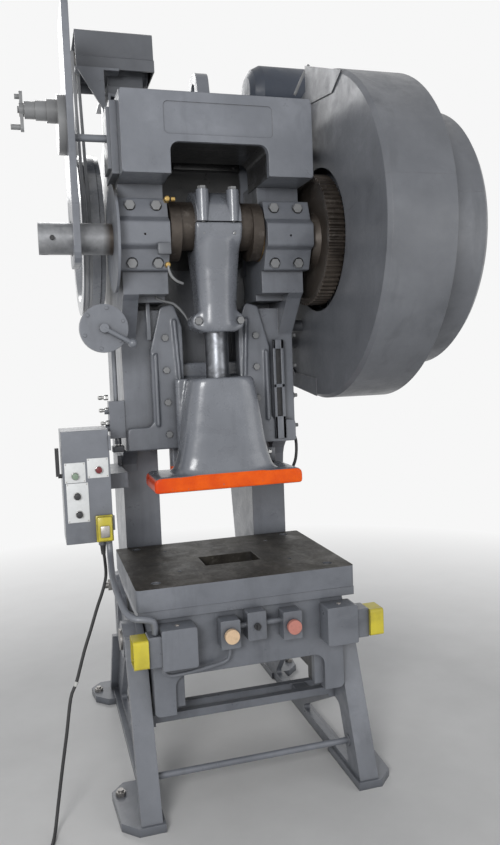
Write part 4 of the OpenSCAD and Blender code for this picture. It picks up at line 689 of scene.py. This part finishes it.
def make_small_screws():
    """A black disc as painted shade for the cross hole in the crankshaft's free end, and a screw on each palm
    box.
    """
    # Painted shade: a black disc stands for the cross hole
    bush = [(0, -6), (9, -6), (9, 1.2), (7.5, 1.8), (7.5, 0.4), (0, 0.4)]
    hole = Shape().turned((-612, -69.2, 2074), (0, -1, 0), bush, 20)
    hole.made("stub_hole_painted_shade", "crankshaft", "black_rubber")
    caps = Shape()
    for x, y in ((-278, -382), (330, -382)):
        head = [(0, -1), (9, -1), (9, 1.5), (7.5, 3), (3, 3.2), (2, 2), (0, 2)]
        caps.turned((x, y, 692), (0, 0, 1), head, 6)
    caps.made("box_screws", "frame", "worn_steel")


def make_crown_ledge():
    """Screwed strip inside the crown's window."""
    ledge = Shape().block((-103, 205, 2400), (181, 237, 2437), 4)
    for x in (-80, 160):
        screw_head(ledge, x, 205, 2418, r=9)
    ledge.made("crown_ledge", "frame", "frame_paint")


def make_gib_details():
    """Bars on the guides, and the slotted bar on the right one, with a black sheet as painted shade in its
    slot.
    """
    bars, slots = Shape(), Shape()
    bars.block((-262, 88, 1700), (-246, 96, 1860), 2)
    for x0, x1, z0, z1 in ((262, 274, 1270, 1688), (296, 310, 1270, 1688), (262, 310, 1270, 1366),
                           (262, 310, 1486, 1502), (262, 310, 1648, 1688)):
        bars.block((x0, 84, z0), (x1, 96, z1), 2.5)
    # Painted shade: a black sheet fills the slot
    slots.block((272, 92.5, 1364), (298, 95.6, 1650), 0.5)
    bars.made("guide_bars", "frame", "grey_paint")
    slots.made("guide_slot_painted_shade", "frame", "black_rubber")


make_door_pieces()
make_fittings()
make_crown_ledge()
make_gib_details()
make_small_screws()


# Floor, lamps and background
BACKGROUND = (0.93, 0.93, 0.93)
SKY = (0.92, 0.95, 1.0)
SKY_STRENGTH = 0.30
FLOOR_HALF = 30
FADE_START, FADE_END = 1.3, 4.2
# Name, place, aim, size in metres, power in watts
LAMPS = (
    ("key", (-2.4, -4.8, 2.7), (0, 0, 1.3), 1.8, 160),
    ("fill", (3.4, -3.8, 2.0), (0, 0, 1.2), 3.0, 33),
    ("rim", (-0.6, 4.5, 4.6), (0, 0, 1.6), 3.0, 88),
)


def make_floor():
    """Pale floor that turns into the plain background away from the press."""
    mesh = bpy.data.meshes.new("floor")
    corners = [(x * FLOOR_HALF, y * FLOOR_HALF, 0) for x, y in ((-1, -1), (1, -1), (1, 1), (-1, 1))]
    mesh.from_pydata(corners, [], [(0, 1, 2, 3)])
    floor = bpy.data.objects.new("floor", mesh)
    bpy.context.scene.collection.objects.link(floor)
    f = Finish("floor")
    tone = f.mixed(f.span(f.noise(3, 5, 0.6), 0.3, 0.7), (0.62, 0.615, 0.605), (0.68, 0.675, 0.665))
    f.set(colour=tone, rough=0.75)
    away = f.add("ShaderNodeVectorMath", operation="LENGTH")
    f.join(f.place, away.inputs[0])
    plain = f.add("ShaderNodeEmission")
    plain.inputs["Color"].default_value = (*BACKGROUND, 1)
    blend = f.add("ShaderNodeMixShader")
    f.join(f.span(away.outputs["Value"], FADE_START, FADE_END), blend.inputs[0])
    f.join(f.shader.outputs[0], blend.inputs[1])
    f.join(plain.outputs[0], blend.inputs[2])
    f.join(blend.outputs[0], f.tree.nodes["Material Output"].inputs["Surface"])
    mesh.materials.append(f.material)


def make_world():
    """Soft light from all sides; the camera and mirrors see the plain background."""
    world = bpy.data.worlds.new("world")
    bpy.context.scene.world = world
    world.use_nodes = True
    tree = world.node_tree
    tree.nodes.clear()
    out = tree.nodes.new("ShaderNodeOutputWorld")
    mix = tree.nodes.new("ShaderNodeMixShader")
    soft = tree.nodes.new("ShaderNodeBackground")
    white = tree.nodes.new("ShaderNodeBackground")
    path = tree.nodes.new("ShaderNodeLightPath")
    seen = tree.nodes.new("ShaderNodeMath")
    seen.operation = "MAXIMUM"
    through = tree.nodes.new("ShaderNodeMath")
    through.operation = "MAXIMUM"
    soft.inputs["Color"].default_value = (*SKY, 1)
    soft.inputs["Strength"].default_value = SKY_STRENGTH
    white.inputs["Color"].default_value = (*BACKGROUND, 1)
    white.inputs["Strength"].default_value = 1.0
    tree.links.new(path.outputs["Is Glossy Ray"], seen.inputs[0])
    tree.links.new(path.outputs["Is Transmission Ray"], seen.inputs[1])
    tree.links.new(path.outputs["Is Camera Ray"], through.inputs[0])
    tree.links.new(seen.outputs[0], through.inputs[1])
    tree.links.new(through.outputs[0], mix.inputs[0])
    tree.links.new(soft.outputs[0], mix.inputs[1])
    tree.links.new(white.outputs[0], mix.inputs[2])
    tree.links.new(mix.outputs[0], out.inputs["Surface"])


def make_lamps():
    """Three soft studio lamps."""
    for name, at, aim, size, power in LAMPS:
        data = bpy.data.lights.new(name, "AREA")
        data.shape = "DISK"
        data.size = size
        data.energy = power
        lamp = bpy.data.objects.new(name, data)
        bpy.context.scene.collection.objects.link(lamp)
        lamp.location = at
        lamp.rotation_euler = (Vector(aim) - Vector(at)).to_track_quat("-Z", "Y").to_euler()
    bpy.context.scene.view_settings.view_transform = "Standard"


make_floor()
make_world()
make_lamps()
